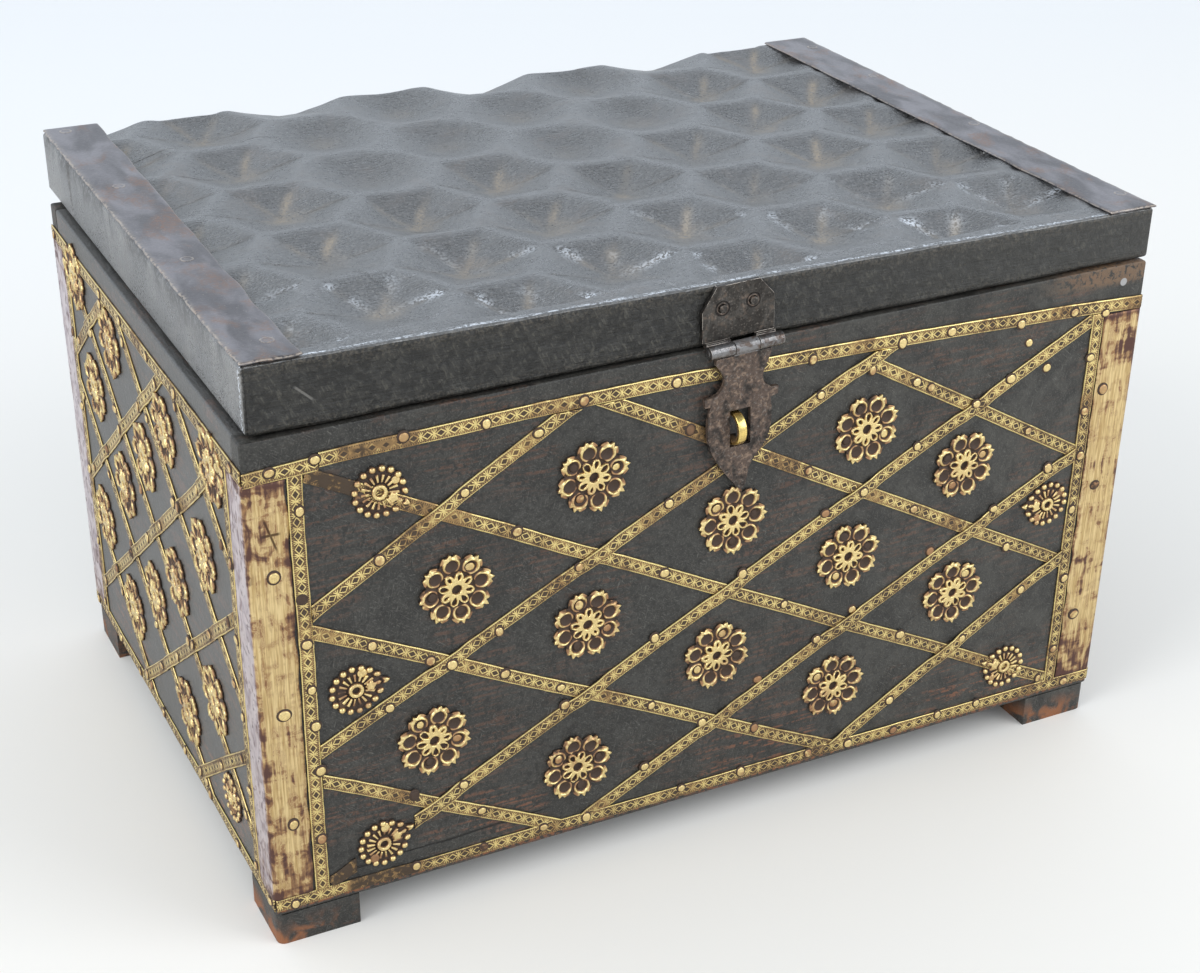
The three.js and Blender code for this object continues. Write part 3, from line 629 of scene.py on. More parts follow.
@dataclass(frozen=True)
class LidWood:
    """The lid's wood: dark, waxed by hands, with dust in the carving.

    The mesh carries dust, from 0 to 1 in the bottoms and creases of the pits, worn, from 0 to 1 on ridges and
    edges, which get wear and a painted sheen, glint, from 0 to 1 along the creases where highlights are
    painted, and seam, from 0 to 1 where the creases that run to the left and right are darkened.

    Attributes:
        end: X of the lid's left end in the frame, in millimetres.
        front: Y of its front.
        name: the material's name.
        stain: colour of the stain.
        face: colour of the stain on the lid's front.
        rub: colour of the wood where the stain is rubbed off.
        dust: colour of the dust.
        sheen: roughness of the waxed wood.
        gloss: how strongly its wax mirrors, with 0.5 for plain wax.
        density: the wax's refraction.
        cracks: X and Y of the ends of the short cracks in the top.
        scratch: X and Z of the ends of the pale scratch in the front.
    """

    end: float
    front: float
    name: str = "lid_wood_carved"
    stain: Colour = (0.040, 0.0405, 0.0415)
    face: Colour = (0.021, 0.0198, 0.0175)
    rub: Colour = (0.105, 0.072, 0.050)
    dust: Colour = (0.240, 0.192, 0.135)
    sheen: float = 0.31
    gloss: float = 1.0
    density: float = 1.85
    cracks: tuple[Quad, ...] = ()
    scratch: Quad = (0.0, 0.0, 1.0, 0.0)

    def material(self) -> Material:
        """Mixes stain, brown rubs, worn ridges and dust, over a leathery skin, tool marks and glossy drops.

        Returns:
            The material.
        """
        paint = Paint(self.name)
        dusty, worn, highlight_mask, seam = (paint.value(name) for name in ("dust", "worn", "glint", "seam"))
        x, y, z = (paint.axis(letter) for letter in "XYZ")
        fibre = paint.noise([7.0, 0.55, 0.55], 4.0)
        grit = paint.noise(0.8, 3.0)
        skin = paint.noise(1.9, 5.0, warp=0.6)
        patch = paint.noise(14.0, 4.0, warp=0.8)
        stroke = paint.noise([0.6, 0.6, 3.6], 3.0, (0, 24, 0))
        fluted = paint.noise([20.0, 20.0, 26.0], 3.0, warp=0.4)
        on_end = x.ramp(self.end + 1.2, self.end + 0.6)
        on_face = y.ramp(self.front + 1.6, self.front + 0.8)
        bloom = fibre.ramp(0.32, 0.68) * 0.45 + patch.ramp(0.30, 0.66) * 0.55
        swept = paint.noise(26.0, 2.0).ramp(0.42, 0.58, 0.30, 1.0)
        tan = (dusty * (patch * 1.4 + 0.45) * grit.ramp(0.24, 0.56) * swept).low(1.0)
        dark = seam * fibre.ramp(0.36, 0.52)
        for ends in self.cracks:
            dark = dark.high(paint.line(x + (skin - 0.5) * 3.0, y + (skin - 0.5) * 3.0, ends, 0.75))
        # Painted sheen: light grey streaks on the lid's end.
        end_sheen = on_end * fluted.ramp(0.40, 0.66) * stroke.ramp(0.30, 0.6)
        high_up = (z + patch * 16.0).ramp(188.0, 196.0)
        blot = on_end * high_up * fluted.ramp(0.60, 0.44) * skin.ramp(0.36, 0.52)
        near = y.ramp(self.front + 85.0, self.front + 15.0) * (1 - on_face)
        wet = paint.noise(7.0, 3.0).ramp(0.54, 0.64) * grit.ramp(0.46, 0.56) * near
        # Painted highlights: bluish white specks along the creases of the pits near the front.
        painted_highlight = highlight_mask * paint.noise(8.0, 3.0).ramp(0.44, 0.56) * grit.ramp(0.46, 0.52) * near
        # Painted highlight along the lid's front top edge.
        edge_highlight = y.ramp(self.front + 3.2, self.front + 1.9) * (1 - on_face) * fibre.ramp(0.42, 0.56)
        on_front = paint.coats(
            paint.shades(skin.ramp(0.34, 0.66), self.face, 0.65, 1.45),
            # Painted light: the lid's front is coloured lighter towards the right.
            ((x - self.end).ramp(120.0, 300.0) * 0.40, (0.060, 0.058, 0.052)),
            (stroke.ramp(0.50, 0.66) * skin.ramp(0.46, 0.60) * 0.45, (0.095, 0.088, 0.070)),
            (worn * grit.ramp(0.46, 0.64) * 0.35, (0.15, 0.125, 0.095)),
            (paint.line(x, z, self.scratch, 0.5) * 0.8, (0.16, 0.15, 0.135)),
        )
        shade = paint.coats(
            paint.shades(bloom, self.stain, 0.62, 1.36),
            (patch.ramp(0.54, 0.70) * stroke.ramp(0.4, 0.62) * 0.5, self.rub),
            (skin.ramp(0.50, 0.34) * 0.6, (0.014, 0.013, 0.012)),
            (grit.ramp(0.52, 0.66) * 0.55, (0.165, 0.160, 0.155)),
            # Wear and painted sheen: the worn ridges are coloured a lighter bluish grey.
            (worn * fibre.ramp(0.25, 0.60) * 0.30, (0.150, 0.155, 0.165)),
            (tan * 0.95, self.dust),
            (dark * 0.9, (0.008, 0.007, 0.007)),
            (on_face, on_front),
            (end_sheen * 0.55, (0.21, 0.20, 0.185)),
            (blot * 0.85, (0.012, 0.010, 0.009)),
            # Painted highlights, bluish white, in the creases and on the front edge.
            (painted_highlight.high(edge_highlight * grit.ramp(0.44, 0.54) * 0.85), (0.72, 0.77, 0.84)),
        )
        flecks = (grit - 0.5) * 0.42 + (fibre - 0.5) * 0.30
        dull = patch * 0.26 + flecks + self.sheen - 0.10 + tan * 0.35 + on_face * 0.08 + blot * 0.3
        scoop = (y * (2 * math.pi / 36.0)).math("SINE") * 0.5 + 0.5
        wrinkle = on_face.high(on_end) * 0.60 + 0.40
        normal = paint.relief(
            (patch, 0.30), (scoop * on_end, 0.9), (skin * wrinkle, 0.50), (fibre, 0.34), (stroke, 0.12),
            (grit, 0.16), (1 - dark, 0.8),
        )
        return paint.finish(
            Base_Color=shade, Roughness=dull.low(1.0) - wet * 0.22, Normal=normal,
            Specular_IOR_Level=self.gloss, IOR=self.density,
        )


@dataclass(frozen=True)
class StampedBrass:
    """Thin brass with a pressed relief and brown patina.

    The mesh carries recess, from 0 on the raised metal to 1 in the deepest stamping. On the ornaments
    it is patina and painted shade together.

    Attributes:
        name: the material's name.
        bright: colour of the worn raised metal.
        copper: colour of half-cleaned metal.
        deep: colour of the patina in the recesses, and of the painted shade in the ornaments' hollows.
        stain: how much of the raised metal is stained brown.
        polish: roughness of the bright metal.
    """

    name: str
    bright: Colour = (0.78, 0.625, 0.265)
    copper: Colour = (0.36, 0.225, 0.10)
    deep: Colour = (0.060, 0.038, 0.022)
    stain: float = 0.55
    polish: float = 0.34

    def pressing(self, paint: Paint) -> Link:
        """Returns how deep the metal is pressed in, from 0 to 1."""
        return paint.value("recess")

    def material(self) -> Material:
        """Mixes bright metal, copper-brown stain and dark recesses.

        Returns:
            The material.
        """
        paint = Paint(self.name)
        recess = self.pressing(paint)
        cloud = paint.noise(19.0, 4.0, warp=0.5)
        speck = paint.noise(1.7, 3.0)
        fine = paint.noise(0.45, 2.0)
        stained = cloud.ramp(0.48, 0.64) * speck.ramp(0.34, 0.58) * self.stain
        deepening = (recess + stained * 0.40 + (speck - 0.5) * 0.16).high(0.0)
        shade = paint.coats(
            paint.shades(fine.ramp(0.3, 0.7), self.bright, 0.86, 1.1),
            (stained, self.copper),
            (deepening.ramp(0.14, 0.48), self.copper),
            (deepening.ramp(0.40, 0.80), self.deep),
        )
        metal = deepening.ramp(0.25, 0.95, 1.0, 0.25)
        rough = deepening.ramp(0.1, 0.8, self.polish, 0.66) + (fine - 0.5) * 0.14
        normal = paint.relief((1 - recess, 0.10), (speck, 0.05), (fine, 0.022))
        return paint.finish(Base_Color=shade, Metallic=metal, Roughness=rough, Normal=normal)


@dataclass(frozen=True)
class PatternedBrass(StampedBrass):
    """The brass of the strips, pressed with a running pattern.

    The mesh carries along and across, the place along the strip and from its centre line in millimetres, and
    recess, from 0 to 1 where it is dirty.

    Attributes:
        pitch: length of one repeat of the pattern.
        half: half the strip's width.
        frame: half the length and half the width of a lozenge's bright frame.
        tooth: distance between the fine teeth of the rims.
    """

    pitch: float = 4.1
    half: float = 2.25
    frame: Pair = (1.50, 1.06)
    tooth: float = 0.72

    def pressing(self, paint: Paint) -> Link:
        """Works out the pattern and the dirt.

        The band between the plain rims is dark. With x the distance from the nearest lozenge along the strip
        and t the distance across, a bright frame lies where the sum of x and t, each divided by its half, is
        1. It has a dark lozenge in its middle, and a bright star with six arms stands halfway between two
        frames. Fine teeth run along both rims.

        Args:
            paint: the material in the making.

        Returns:
            How deep the metal is pressed in, from 0 to 1.
        """
        s, side = paint.value("along"), paint.value("across")
        t = side.size()
        x = s.fold(self.pitch / 2)
        across_frame = x / self.frame[0] + t / self.frame[1]
        frame_line = (across_frame - 1.0).size().ramp(0.22, 0.10)
        lozenge = across_frame.ramp(0.84, 0.68)
        p = x - self.pitch / 2
        lean = (t * 0.5 - p.size() * 0.866).size().ramp(0.22, 0.09)
        star = t.ramp(0.22, 0.10).high(lean).high(p.size().ramp(0.19, 0.08)) * p.far(t).ramp(1.55, 1.3)
        bright = star.high(frame_line)
        ground = t.ramp(self.half - 0.74, self.half - 0.88)
        teeth = ((s * (2 * math.pi / self.tooth)).math("SINE") * 0.5 + 0.5).ramp(0.25, 0.75)
        rim = (t - (self.half - 0.62)).size().ramp(0.24, 0.12) * (teeth * 0.5 + 0.5)
        pattern = (ground * (1 - bright) * 0.66).high(lozenge * 0.95).high(rim * 0.95)
        rubbed = paint.noise(9.0, 3.0).ramp(0.30, 0.62, 0.70, 1.0)
        edge = t.ramp(self.half - 0.14, self.half - 0.02) * 0.40
        darkening = paint.value("recess") * paint.noise(2.2, 4.0, warp=0.5).ramp(0.30, 0.62, 0.62, 1.12)
        return (pattern * rubbed).high(edge).high(darkening)


@dataclass(frozen=True)
class PlateBrass:
    """Plain sheet brass on the corners: tan gold, brushed upwards, with soft purple-brown stains.

    The mesh carries recess, from 0 to 1 where dirt gathers along its edges and its fold, and aside, which is
    1 on the facet that looks to the side.

    Attributes:
        cross: X and Z of the dark crossed scratches in the left plate.
        name: the material's name.
        bright: colour of the brass.
        pale: its colour in the brush marks.
        side_sheen: its colour on the facet that looks to the side, a pale lilac grey that is a painted
            reflection.
        brown: colour of the soft stains.
        stain: colour of the darkest stains.
        polish: roughness of the clean brass.
    """

    cross: Pair
    name: str = "corner_sheet_brass"
    bright: Colour = (0.49, 0.335, 0.150)
    pale: Colour = (0.76, 0.59, 0.31)
    side_sheen: Colour = (0.62, 0.56, 0.62)
    brown: Colour = (0.27, 0.13, 0.07)
    stain: Colour = (0.070, 0.027, 0.024)
    polish: float = 0.36

    def material(self) -> Material:
        """Mixes brushed brass with soft stains that are densest at the top, at the foot and along the edges.

        Returns:
            The material.
        """
        paint = Paint(self.name)
        recess, aside = paint.value("recess"), paint.value("aside")
        x, z = paint.axis("X"), paint.axis("Z")
        brush = paint.noise([0.45, 0.45, 11.0], 4.0)
        streak = paint.noise([1.5, 1.5, 17.0], 4.0, warp=0.3)
        band = paint.noise([16.0, 16.0, 3.2], 4.0, warp=0.8)
        blot = paint.noise([4.2, 4.2, 6.5], 5.0, warp=1.0)
        dot = paint.noise(2.6, 2.0, warp=0.3)
        broad = paint.noise([9.0, 9.0, 20.0], 3.0, warp=0.5)
        ends = (z.ramp(132.0, 154.0) * 0.13).high(z.ramp(48.0, 24.0) * 0.15)
        dirty = blot + recess * 0.30 + (band - 0.5) * 0.60 + (streak - 0.5) * 0.95 + ends - aside * 0.08
        spots = dot.ramp(0.60, 0.68) * (recess * 0.9 + aside * 0.7).low(1.0)
        deeper = dirty + (broad - 0.5) * 0.5
        dark = deeper.ramp(0.64, 0.86).high(spots)
        rim = (deeper - 0.60).size().ramp(0.04, 0.015) * (1 - aside)
        middle, level = self.cross
        steep = paint.line(x, z, (middle - 1.7, level + 5.4, middle + 1.7, level - 5.4), 0.46)
        flat = paint.line(x, z, (middle - 2.7, level, middle + 2.7, level), 0.6)
        shade = paint.coats(
            self.bright,
            (brush.ramp(0.32, 0.66), self.pale),
            # Painted reflection: the facet that looks to the side is coloured pale lilac grey.
            (aside * 0.85, paint.shades(brush.ramp(0.3, 0.7), self.side_sheen, 0.85, 1.15)),
            (dirty.ramp(0.42, 0.74) * 0.80, self.brown),
            (aside * blot.ramp(0.46, 0.60) * 0.55, (0.30, 0.235, 0.29)),
            (rim * 0.4, self.pale),
            (dark * 0.92, self.stain),
            (steep.high(flat) * 0.85, (0.055, 0.03, 0.02)),
        )
        rough = dark * 0.14 + self.polish + (brush - 0.5) * 0.18
        normal = paint.relief((band, 0.12), (streak, 0.05), (brush, 0.035))
        return paint.finish(Base_Color=shade, Metallic=1 - dark * 0.5, Roughness=rough, Normal=normal)


@dataclass(frozen=True)
class Iron:
    """Dark wrought iron, rubbed and rusted, with a barrel worn bright.

    Attributes:
        name: the material's name.
        dark: colour of the clean dark metal.
        rust: colour of the rusted metal.
        amount: how much of it is rusted, from 0 to 1.
        polish: roughness of the clean metal.
        barrel: X, Y and Z of the middle of the hinge pin in the frame, in millimetres, if it has one.
        lean: how much the pin rises along X.
        rings: X and Z of the rivets that have left ring marks.
    """

    name: str
    dark: Colour = (0.060, 0.055, 0.050)
    rust: Colour = (0.105, 0.068, 0.050)
    amount: float = 0.5
    polish: float = 0.42
    barrel: Triple | None = None
    lean: float = 0.042
    rings: tuple[Pair, ...] = ()

    def material(self) -> Material:
        """Mixes metal and rust over a pitted surface.

        Returns:
            The material.
        """
        paint = Paint(self.name)
        cloud = paint.noise(5.0, 5.0, warp=0.9)
        pit = paint.noise(0.7, 5.0)
        grain = paint.noise(1.6, 4.0, warp=0.5)
        x, z = paint.axis("X"), paint.axis("Z")
        rusty = (cloud * 0.5 + grain * 0.5).ramp(0.66 - 0.34 * self.amount, 0.76 - 0.28 * self.amount)
        tawny = grain.ramp(0.50, 0.66) * cloud.ramp(0.36, 0.58) * self.amount
        shade = paint.coats(
            paint.shades(cloud.ramp(0.3, 0.7), self.dark, 0.7, 1.5),
            (rusty * 0.80, self.rust),
            (tawny * 0.75, (0.32, 0.225, 0.160)),
            (cloud.ramp(0.46, 0.34) * self.amount * 0.8, (0.050, 0.042, 0.038)),
            (pit.ramp(0.56, 0.70) * 0.55, (0.24, 0.21, 0.185)),
            (pit.ramp(0.46, 0.34) * 0.6, (0.025, 0.02, 0.018)),
        )
        rough = rusty * 0.16 + self.polish + (pit - 0.5) * 0.25
        normal = paint.relief((cloud, 0.16), (pit, 0.10))
        for ring_x, ring_z in self.rings:
            distance = (x - ring_x).far(z - ring_z)
            groove = (distance - 2.15).size().ramp(0.34, 0.14)
            bright = (distance - 1.65).size().ramp(0.28, 0.12) * grain.ramp(0.35, 0.55)
            marks = ((groove * 0.75, (0.022, 0.018, 0.016)), (bright * 0.6, (0.26, 0.19, 0.15)))
            shade = paint.coats(shade, *marks)
            normal = paint.relief((1 - groove, 0.15), under=normal)
        if self.barrel:
            across = paint.axis("Y") - self.barrel[1]
            above = z - self.barrel[2] - (x - self.barrel[0]) * self.lean
            round_part = across.far(above).ramp(2.55, 2.25)
            worn = cloud.ramp(0.42, 0.60) * grain.ramp(0.36, 0.6)
            steel = paint.mix(worn, (0.24, 0.235, 0.235), (0.085, 0.060, 0.048))
            shade = paint.mix(round_part * 0.9, shade, steel)
            rough = rough - round_part * 0.14
        return paint.finish(Base_Color=shade, Metallic=0.92 - rusty * 0.45, Roughness=rough, Normal=normal)


@dataclass(frozen=True)
class RubbedEdge:
    """The bare metal along the edges of a dark iron piece, rubbed bright in places.

    Attributes:
        name: the material's name.
        bright: colour of the bare metal.
        dark: colour where it isn't rubbed.
        share: how much of the edge is rubbed, from 0 to 1.
    """

    name: str = "rubbed_edge"
    bright: Colour = (0.46, 0.41, 0.36)
    dark: Colour = (0.08, 0.06, 0.05)
    share: float = 0.5

    def material(self) -> Material:
        """Mixes bare and dark metal along the edge."""
        paint = Paint(self.name)
        wear = paint.noise(3.4, 4.0)
        bare = wear.ramp(0.62 - 0.28 * self.share, 0.72 - 0.28 * self.share)
        shade = paint.mix(bare, self.dark, self.bright)
        return paint.finish(Base_Color=shade, Metallic=0.9, Roughness=bare.ramp(0.0, 1.0, 0.5, 0.34))


@dataclass(frozen=True)
class OldSheet:
    """The dark oxidised metal sheet on the ends of the lid, purple-grey with reddish patches.

    Attributes:
        name: the material's name.
        dark: colour of the grey oxide.
        warm: colour of the reddish patches.
        light: colour of the bare metal.
    """

    name: str = "lid_end_sheet"
    dark: Colour = (0.175, 0.166, 0.176)
    warm: Colour = (0.34, 0.205, 0.145)
    light: Colour = (0.50, 0.43, 0.36)

    def material(self) -> Material:
        """Mixes grey oxide, warm patches and bright bare edges, where the mesh's worn is 1.

        Returns:
            The material.
        """
        paint = Paint(self.name)
        worn = paint.value("worn")
        cloud = paint.noise([10, 22, 10], 4.0, warp=0.5)
        fine = paint.noise(1.1, 4.0)
        speck = paint.noise(0.5, 2.0)
        warm = paint.noise([8, 13, 8], 4.0, warp=0.5).ramp(0.50, 0.70) * fine.ramp(0.25, 0.70)
        shade = paint.coats(
            paint.shades(cloud.ramp(0.35, 0.65), self.dark, 0.66, 1.30),
            (warm * 0.60, self.warm),
            (speck.ramp(0.64, 0.72) * 0.35, self.light),
            ((worn * fine.ramp(0.36, 0.56) * 0.8).low(1.0), self.light),
        )
        rough = fine * 0.20 + 0.32 + warm * 0.12
        normal = paint.relief((cloud, 0.16), (fine, 0.06))
        return paint.finish(Base_Color=shade, Metallic=0.75, Roughness=rough, Normal=normal)


@dataclass(frozen=True)
class Strip:
    """One stamped brass strip that lies flat on a face.

    Places along it, s, and across it, t, count from a point of its centre line.

    Attributes:
        face: the side of the case it lies on.
        point: U and V of a point on the centre line.
        angle: its slope, in radians.
        bounds: lowest and highest U and V, which cut its ends.
        width: its width.
        thick: its thickness.
        crossed: places along it of the strips that it steps over.
        arch: how the upper bound bows upwards.
        bowed: whether the strip itself follows the arch.
        stains: dirty stretches: U of the middle, half length and strength of each.
        seed: which of the possible small irregularities it has.
        step: distance between its points, along it.
    """

    face: Face
    point: Pair
    angle: float
    bounds: Quad
    width: float
    thick: float
    crossed: tuple[float, ...] = ()
    arch: Arch = Arch()
    bowed: bool = False
    stains: tuple[Triple, ...] = ()
    seed: int = 0
    step: float = 0.8

    LIFT = 0.04
    RAMP = 4.5

    def span(self, t: Array) -> tuple[Array, Array]:
        """Returns where the line at t across the strip enters and leaves its bounds.

        The upper bound follows the arch, so the end that meets it is found by going there a few times.
        """
        along, up = math.cos(self.angle), math.sin(self.angle)
        u0, u1, v0, v1 = self.bounds
        rise = np.zeros_like(t)
        for _ in range(4):
            near = np.full_like(t, -1e6)
            far = np.full_like(t, 1e6)
            for start, slope, low, high in (
                (self.point[0] - t * up, along, u0, u1),
                (self.point[1] + t * along, up, v0, v1 + rise),
            ):
                if abs(slope) < 1e-6:
                    continue
                ends = np.sort(np.stack([(low - start) / slope, (high - start) / slope]), 0)
                near = np.maximum(near, ends[0])
                far = np.minimum(far, ends[1])
            upper = far if up > 0 else near
            rise = self.arch.at(self.point[0] - t * up + upper * along)
        return near, far

    def wander(self, s: Array) -> Array:
        """Returns how far the centre line strays across, as hand-laid strips do."""
        stray = 0.18 * ripple(70.0, self.seed + 40, s)
        return stray + self.arch.at(self.point[0] + s) if self.bowed else stray

    def local(self, u: Array, v: Array) -> tuple[Array, Array]:
        """Returns s and t of points of the face."""
        along, up = math.cos(self.angle), math.sin(self.angle)
        du, dv = u - self.point[0], v - self.point[1]
        s = du * along + dv * up
        return s, dv * along - du * up - self.wander(s)

    def lift(self, s: Array) -> Array:
        """Returns the height of its underside: level, with a smooth step over each strip that it crosses."""
        level = self.LIFT + 0.05 * (1 + ripple(38.0, self.seed + 7, s))
        flat = self.width * 0.75
        for place in self.crossed:
            level = level + (self.thick + 0.04) * smooth(flat + self.RAMP, flat, np.abs(s - place))
        return level

    def covers(self, u: float, v: float) -> float | None:
        """Returns the height of its upper side at a point of the face, or None where it doesn't lie there."""
        s, t = self.local(np.array([u]), np.array([v]))
        near, far = self.span(t)
        if abs(t[0]) > self.width / 2 + 0.3 or not near[0] - 0.5 <= s[0] <= far[0] + 0.5:
            return None
        return float(self.lift(s)[0] + self.thick)

    def surface(self) -> Surface:
        """Works out the strip.

        Across, t runs from one edge to the other on the upper side and back on the underside. Along, s runs
        between the cut ends of each t. The edges are turned down a little and stray by a tenth of a
        millimetre.

        Returns:
            The closed surface.
        """
        half = self.width / 2
        across = np.array([-1.0, -0.94, -0.8, -0.5, 0.0, 0.5, 0.8, 0.94, 1.0]) * half
        t = np.concatenate([across, [half * 0.97, 0.0, -half * 0.97]])
        upper = np.array([0.45, 0.9, 1, 1, 1, 1, 1, 0.9, 0.45, 0, 0, 0])
        near, far = self.span(t)
        rows = max(8, int((far - near).max() / self.step))
        share = np.linspace(0, 1, rows)[:, None]
        s = near + share * (far - near)
        t = np.broadcast_to(t, s.shape)
        edge = 0.05 * ripple(9.0, self.seed + 3, s) * (np.abs(t) > half - 0.3) * np.sign(t)
        lean = 0.07 * ripple(25.0, self.seed + 5, s) * t / half
        w = self.lift(s) + upper * self.thick + np.maximum(lean, -0.03)
        shifted = t + edge + self.wander(s)
        along, up = math.cos(self.angle), math.sin(self.angle)
        u = self.point[0] + s * along - shifted * up
        v = self.point[1] + s * up + shifted * along
        brown = smooth(0.15, 1.0, ripple(34.0, self.seed + 11, s)) * 0.36 * (upper > 0.5)
        for middle, reach, strength in self.stains:
            brown = np.maximum(brown, strength * smooth(reach, reach * 0.6, np.abs(u - middle)))
        shift = np.random.default_rng(self.seed).uniform(0, 4)
        # Painted shade: the underside, and with it the foot of the turned-down edges, is coloured dark.
        values = {
            "recess": np.clip(brown + (upper < 0.4) * 0.6, 0, 1),
            "along": s + shift + 0.25 * np.sin(s / 11.0 + shift),
            "across": t,
        }
        return tube(self.face.place(u, v, w), values)


@dataclass(frozen=True)
class Nails:
    """Round-headed brass nails, hammered nearly flat, each in a dark ring, grimy and partly painted shadow.
    """

    radius: float = 1.38
    rise: float = 0.55

    def surface(self, face: Face, places: Array, seed: int) -> Surface:
        """Works out all the nail heads of one face.

        A head's rings are given by their share of the radius and of the rise: a flat dark ring, grimy and
        partly painted shadow, the groove round the head, and the low dome.

        Args:
            face: the side of the case.
            places: U, V, the height of the metal under each nail and how brown it is.
            seed: which of the possible small differences they have.

        Returns:
            The heads as one mesh.
        """
        random = np.random.default_rng(seed)
        share = np.array([1.36, 1.34, 1.04, 1.0, 0.93, 0.78, 0.5, 0.2])[:, None]
        rise = np.array([-0.5, 0.0, 0.05, 0.36, 0.66, 0.86, 0.97, 1.0])[:, None]
        # Dark rings round each head and at its foot: painted shadow with grimy metal.
        shadow_and_grime = np.array([0.9, 0.85, 0.95, 0.55, 0.1, 0.0, 0.0, 0.0])[:, None]
        around = np.linspace(0, 2 * math.pi, 18, endpoint=False)
        heads = []
        for u, v, base, brown in places:
            size = self.radius * random.uniform(0.88, 1.12)
            oval = random.uniform(0.9, 1.08)
            lean = random.uniform(-0.12, 0.12, 2)
            du = size * share * np.cos(around) * oval
            dv = size * share * np.sin(around) / oval
            w = base + self.rise * rise + 0.08 + (lean[0] * du + lean[1] * dv) * (share < 1.02)
            tone = np.maximum(shadow_and_grime, brown + random.uniform(0, 0.22)) + 0 * w
            heads.append(tube(face.place(u + du, v + dv, w), {"recess": np.clip(tone, 0, 1)}))
        return together(heads)


@dataclass(frozen=True)
class Stamping:
    """A stamped ornament: a height field over a polar grid, closed with a side wall and a flat back.

    Attributes:
        rings: number of steps from the middle to the rim.
        around: number of steps round it.
        high: greatest height above the wood.
    """

    rings: int = 26
    around: int = 160
    high: float = 1.45

    def outline(self, angle: Array) -> Array:
        """Returns the distance of the rim from the middle in each direction."""
        raise NotImplementedError

    def relief(self, radius: Array, angle: Array, seed: int) -> Array:
        """Returns the height at each point, as a share of the greatest height."""
        raise NotImplementedError

    def surface(self, face: Face, place: Pair, turn: float, seed: int) -> Surface:
        """Works out one ornament.

        Ring i lies at a share of the outline, the side wall falls straight from the rim, and the colour's
        recess, which is patina and painted shade, is high where the relief is low.

        Args:
            face: the side of the case.
            place: U and V of its middle.
            turn: degrees that it is turned.
            seed: which of the possible dents it has.

        Returns:
            The closed surface.
        """
        angle = np.linspace(0, 2 * math.pi, self.around, endpoint=False)
        share = np.concatenate([[0.015], np.linspace(0.04, 1.0, self.rings)])[:, None]
        radius = share * self.outline(angle)
        dent = 1 + 0.10 * ripple(9.0, seed, radius * np.cos(angle), radius * np.sin(angle))
        raised = self.relief(radius, np.broadcast_to(angle, radius.shape), seed) * dent
        height = 0.08 + self.high * np.clip(raised, 0.05, 1.12)
        wall = np.stack([np.full(self.around, 0.03), np.full(self.around, 0.03)])
        radius = np.concatenate([radius, radius[-1:] * 0.985, radius[:1]])
        height = np.concatenate([height, wall])
        turned = angle + math.radians(turn)
        u = place[0] + radius * np.cos(turned)
        v = place[1] + radius * np.sin(turned)
        # Patina and painted shade: low relief is coloured darker, which deepens the shallow cups and holes.
        low = smooth(0.86, 0.30, raised)
        recess = np.concatenate([np.clip(low, 0, 1), np.full((2, self.around), 0.8)])
        return tube(face.place(u, v, height), {"recess": recess})


@dataclass(frozen=True)
class Rosette(Stamping):
    """A flower of eight cupped, pointed petals round a scalloped ring with eight drop-shaped holes."""

    rings: int = 44
    around: int = 176
    high: float = 1.5
    petals: int = 8
    size: float = 11.9

    def petal_angle(self, angle: Array, offset: float = 0.0) -> Array:
        """Returns the angle from the middle of the nearest petal."""
        step = 2 * math.pi / self.petals
        return np.mod(angle - offset + step / 2, step) - step / 2

    def outline(self, angle: Array) -> Array:
        """Returns the rim: a point on each petal, a shoulder on both sides and a notch to the next petal."""
        side = np.abs(self.petal_angle(angle))
        corners = [0, 0.040, 0.085, 0.185, 0.235, 0.305, math.pi / self.petals]
        return self.size * np.interp(side, corners, [1.0, 0.945, 0.91, 0.955, 0.915, 0.865, 0.765])

    def relief(self, radius: Array, angle: Array, seed: int) -> Array:
        """Returns the height of cups with raised rims, the pierced ring and a hole in the middle.

        A petal's rim is a ridge 2.3 mm round a point 8 mm out, higher on its outer side, and beyond it the
        petal is raised out to its points. The cup inside it is a bowl. The ring covers the ellipses of eight
        loops 3.8 mm out, each with a hole of its own size.
        """
        petal = self.petal_angle(angle)
        a, b = radius * np.cos(petal), radius * np.sin(petal)
        cup = np.hypot(a - 8.0, b)
        outward = smooth(6.8, 9.2, a)
        rim = hill(cup - 2.36, 0.64) * (0.66 + 0.38 * outward)
        point = smooth(2.2, 2.6, cup) * smooth(8.4, 9.4, a) * (0.92 - 0.32 * smooth(0.8, 2.4, np.abs(b)))
        bowl = 0.08 + 0.55 * np.clip(cup / 2.3, 0, 1) ** 2
        groove = hill(np.abs(petal) - 0.085, 0.028) * smooth(9.9, 10.6, radius)
        point = point - 0.40 * groove
        between = 0.34 * smooth(2.2, 2.8, cup)
        height = np.maximum.reduce([rim, point, np.where(cup < 2.3, bowl, between)])
        random = np.random.default_rng(seed)
        offset = math.radians(random.uniform(12, 24))
        loop = self.petal_angle(angle, offset)
        turns = (angle - offset - loop) / (2 * math.pi / self.petals)
        which = np.mod(np.round(turns), self.petals).astype(int)
        hole_size = random.uniform(0.55, 1.15, self.petals)[which]
        c, d = radius * np.cos(loop), radius * np.sin(loop)
        wide = np.maximum(0.62 + 0.20 * (c - 3.8), 0.25)
        hole = np.hypot((c - 3.9) / 1.15, d / wide) / hole_size
        scallop = np.hypot((c - 3.7) / 2.0, d / 1.42)
        ring = np.maximum(smooth(1.12, 0.90, scallop), smooth(2.9, 2.6, radius))
        pierced = 0.98 * ring * (1 - 0.88 * smooth(1.25, 0.85, hole))
        inside = smooth(6.0, 5.5, radius)
        height = height * (1 - inside) + inside * np.maximum(0.22, pierced)
        middle = smooth(1.35, 1.70, radius)
        return height * middle + 0.05 * (1 - middle)


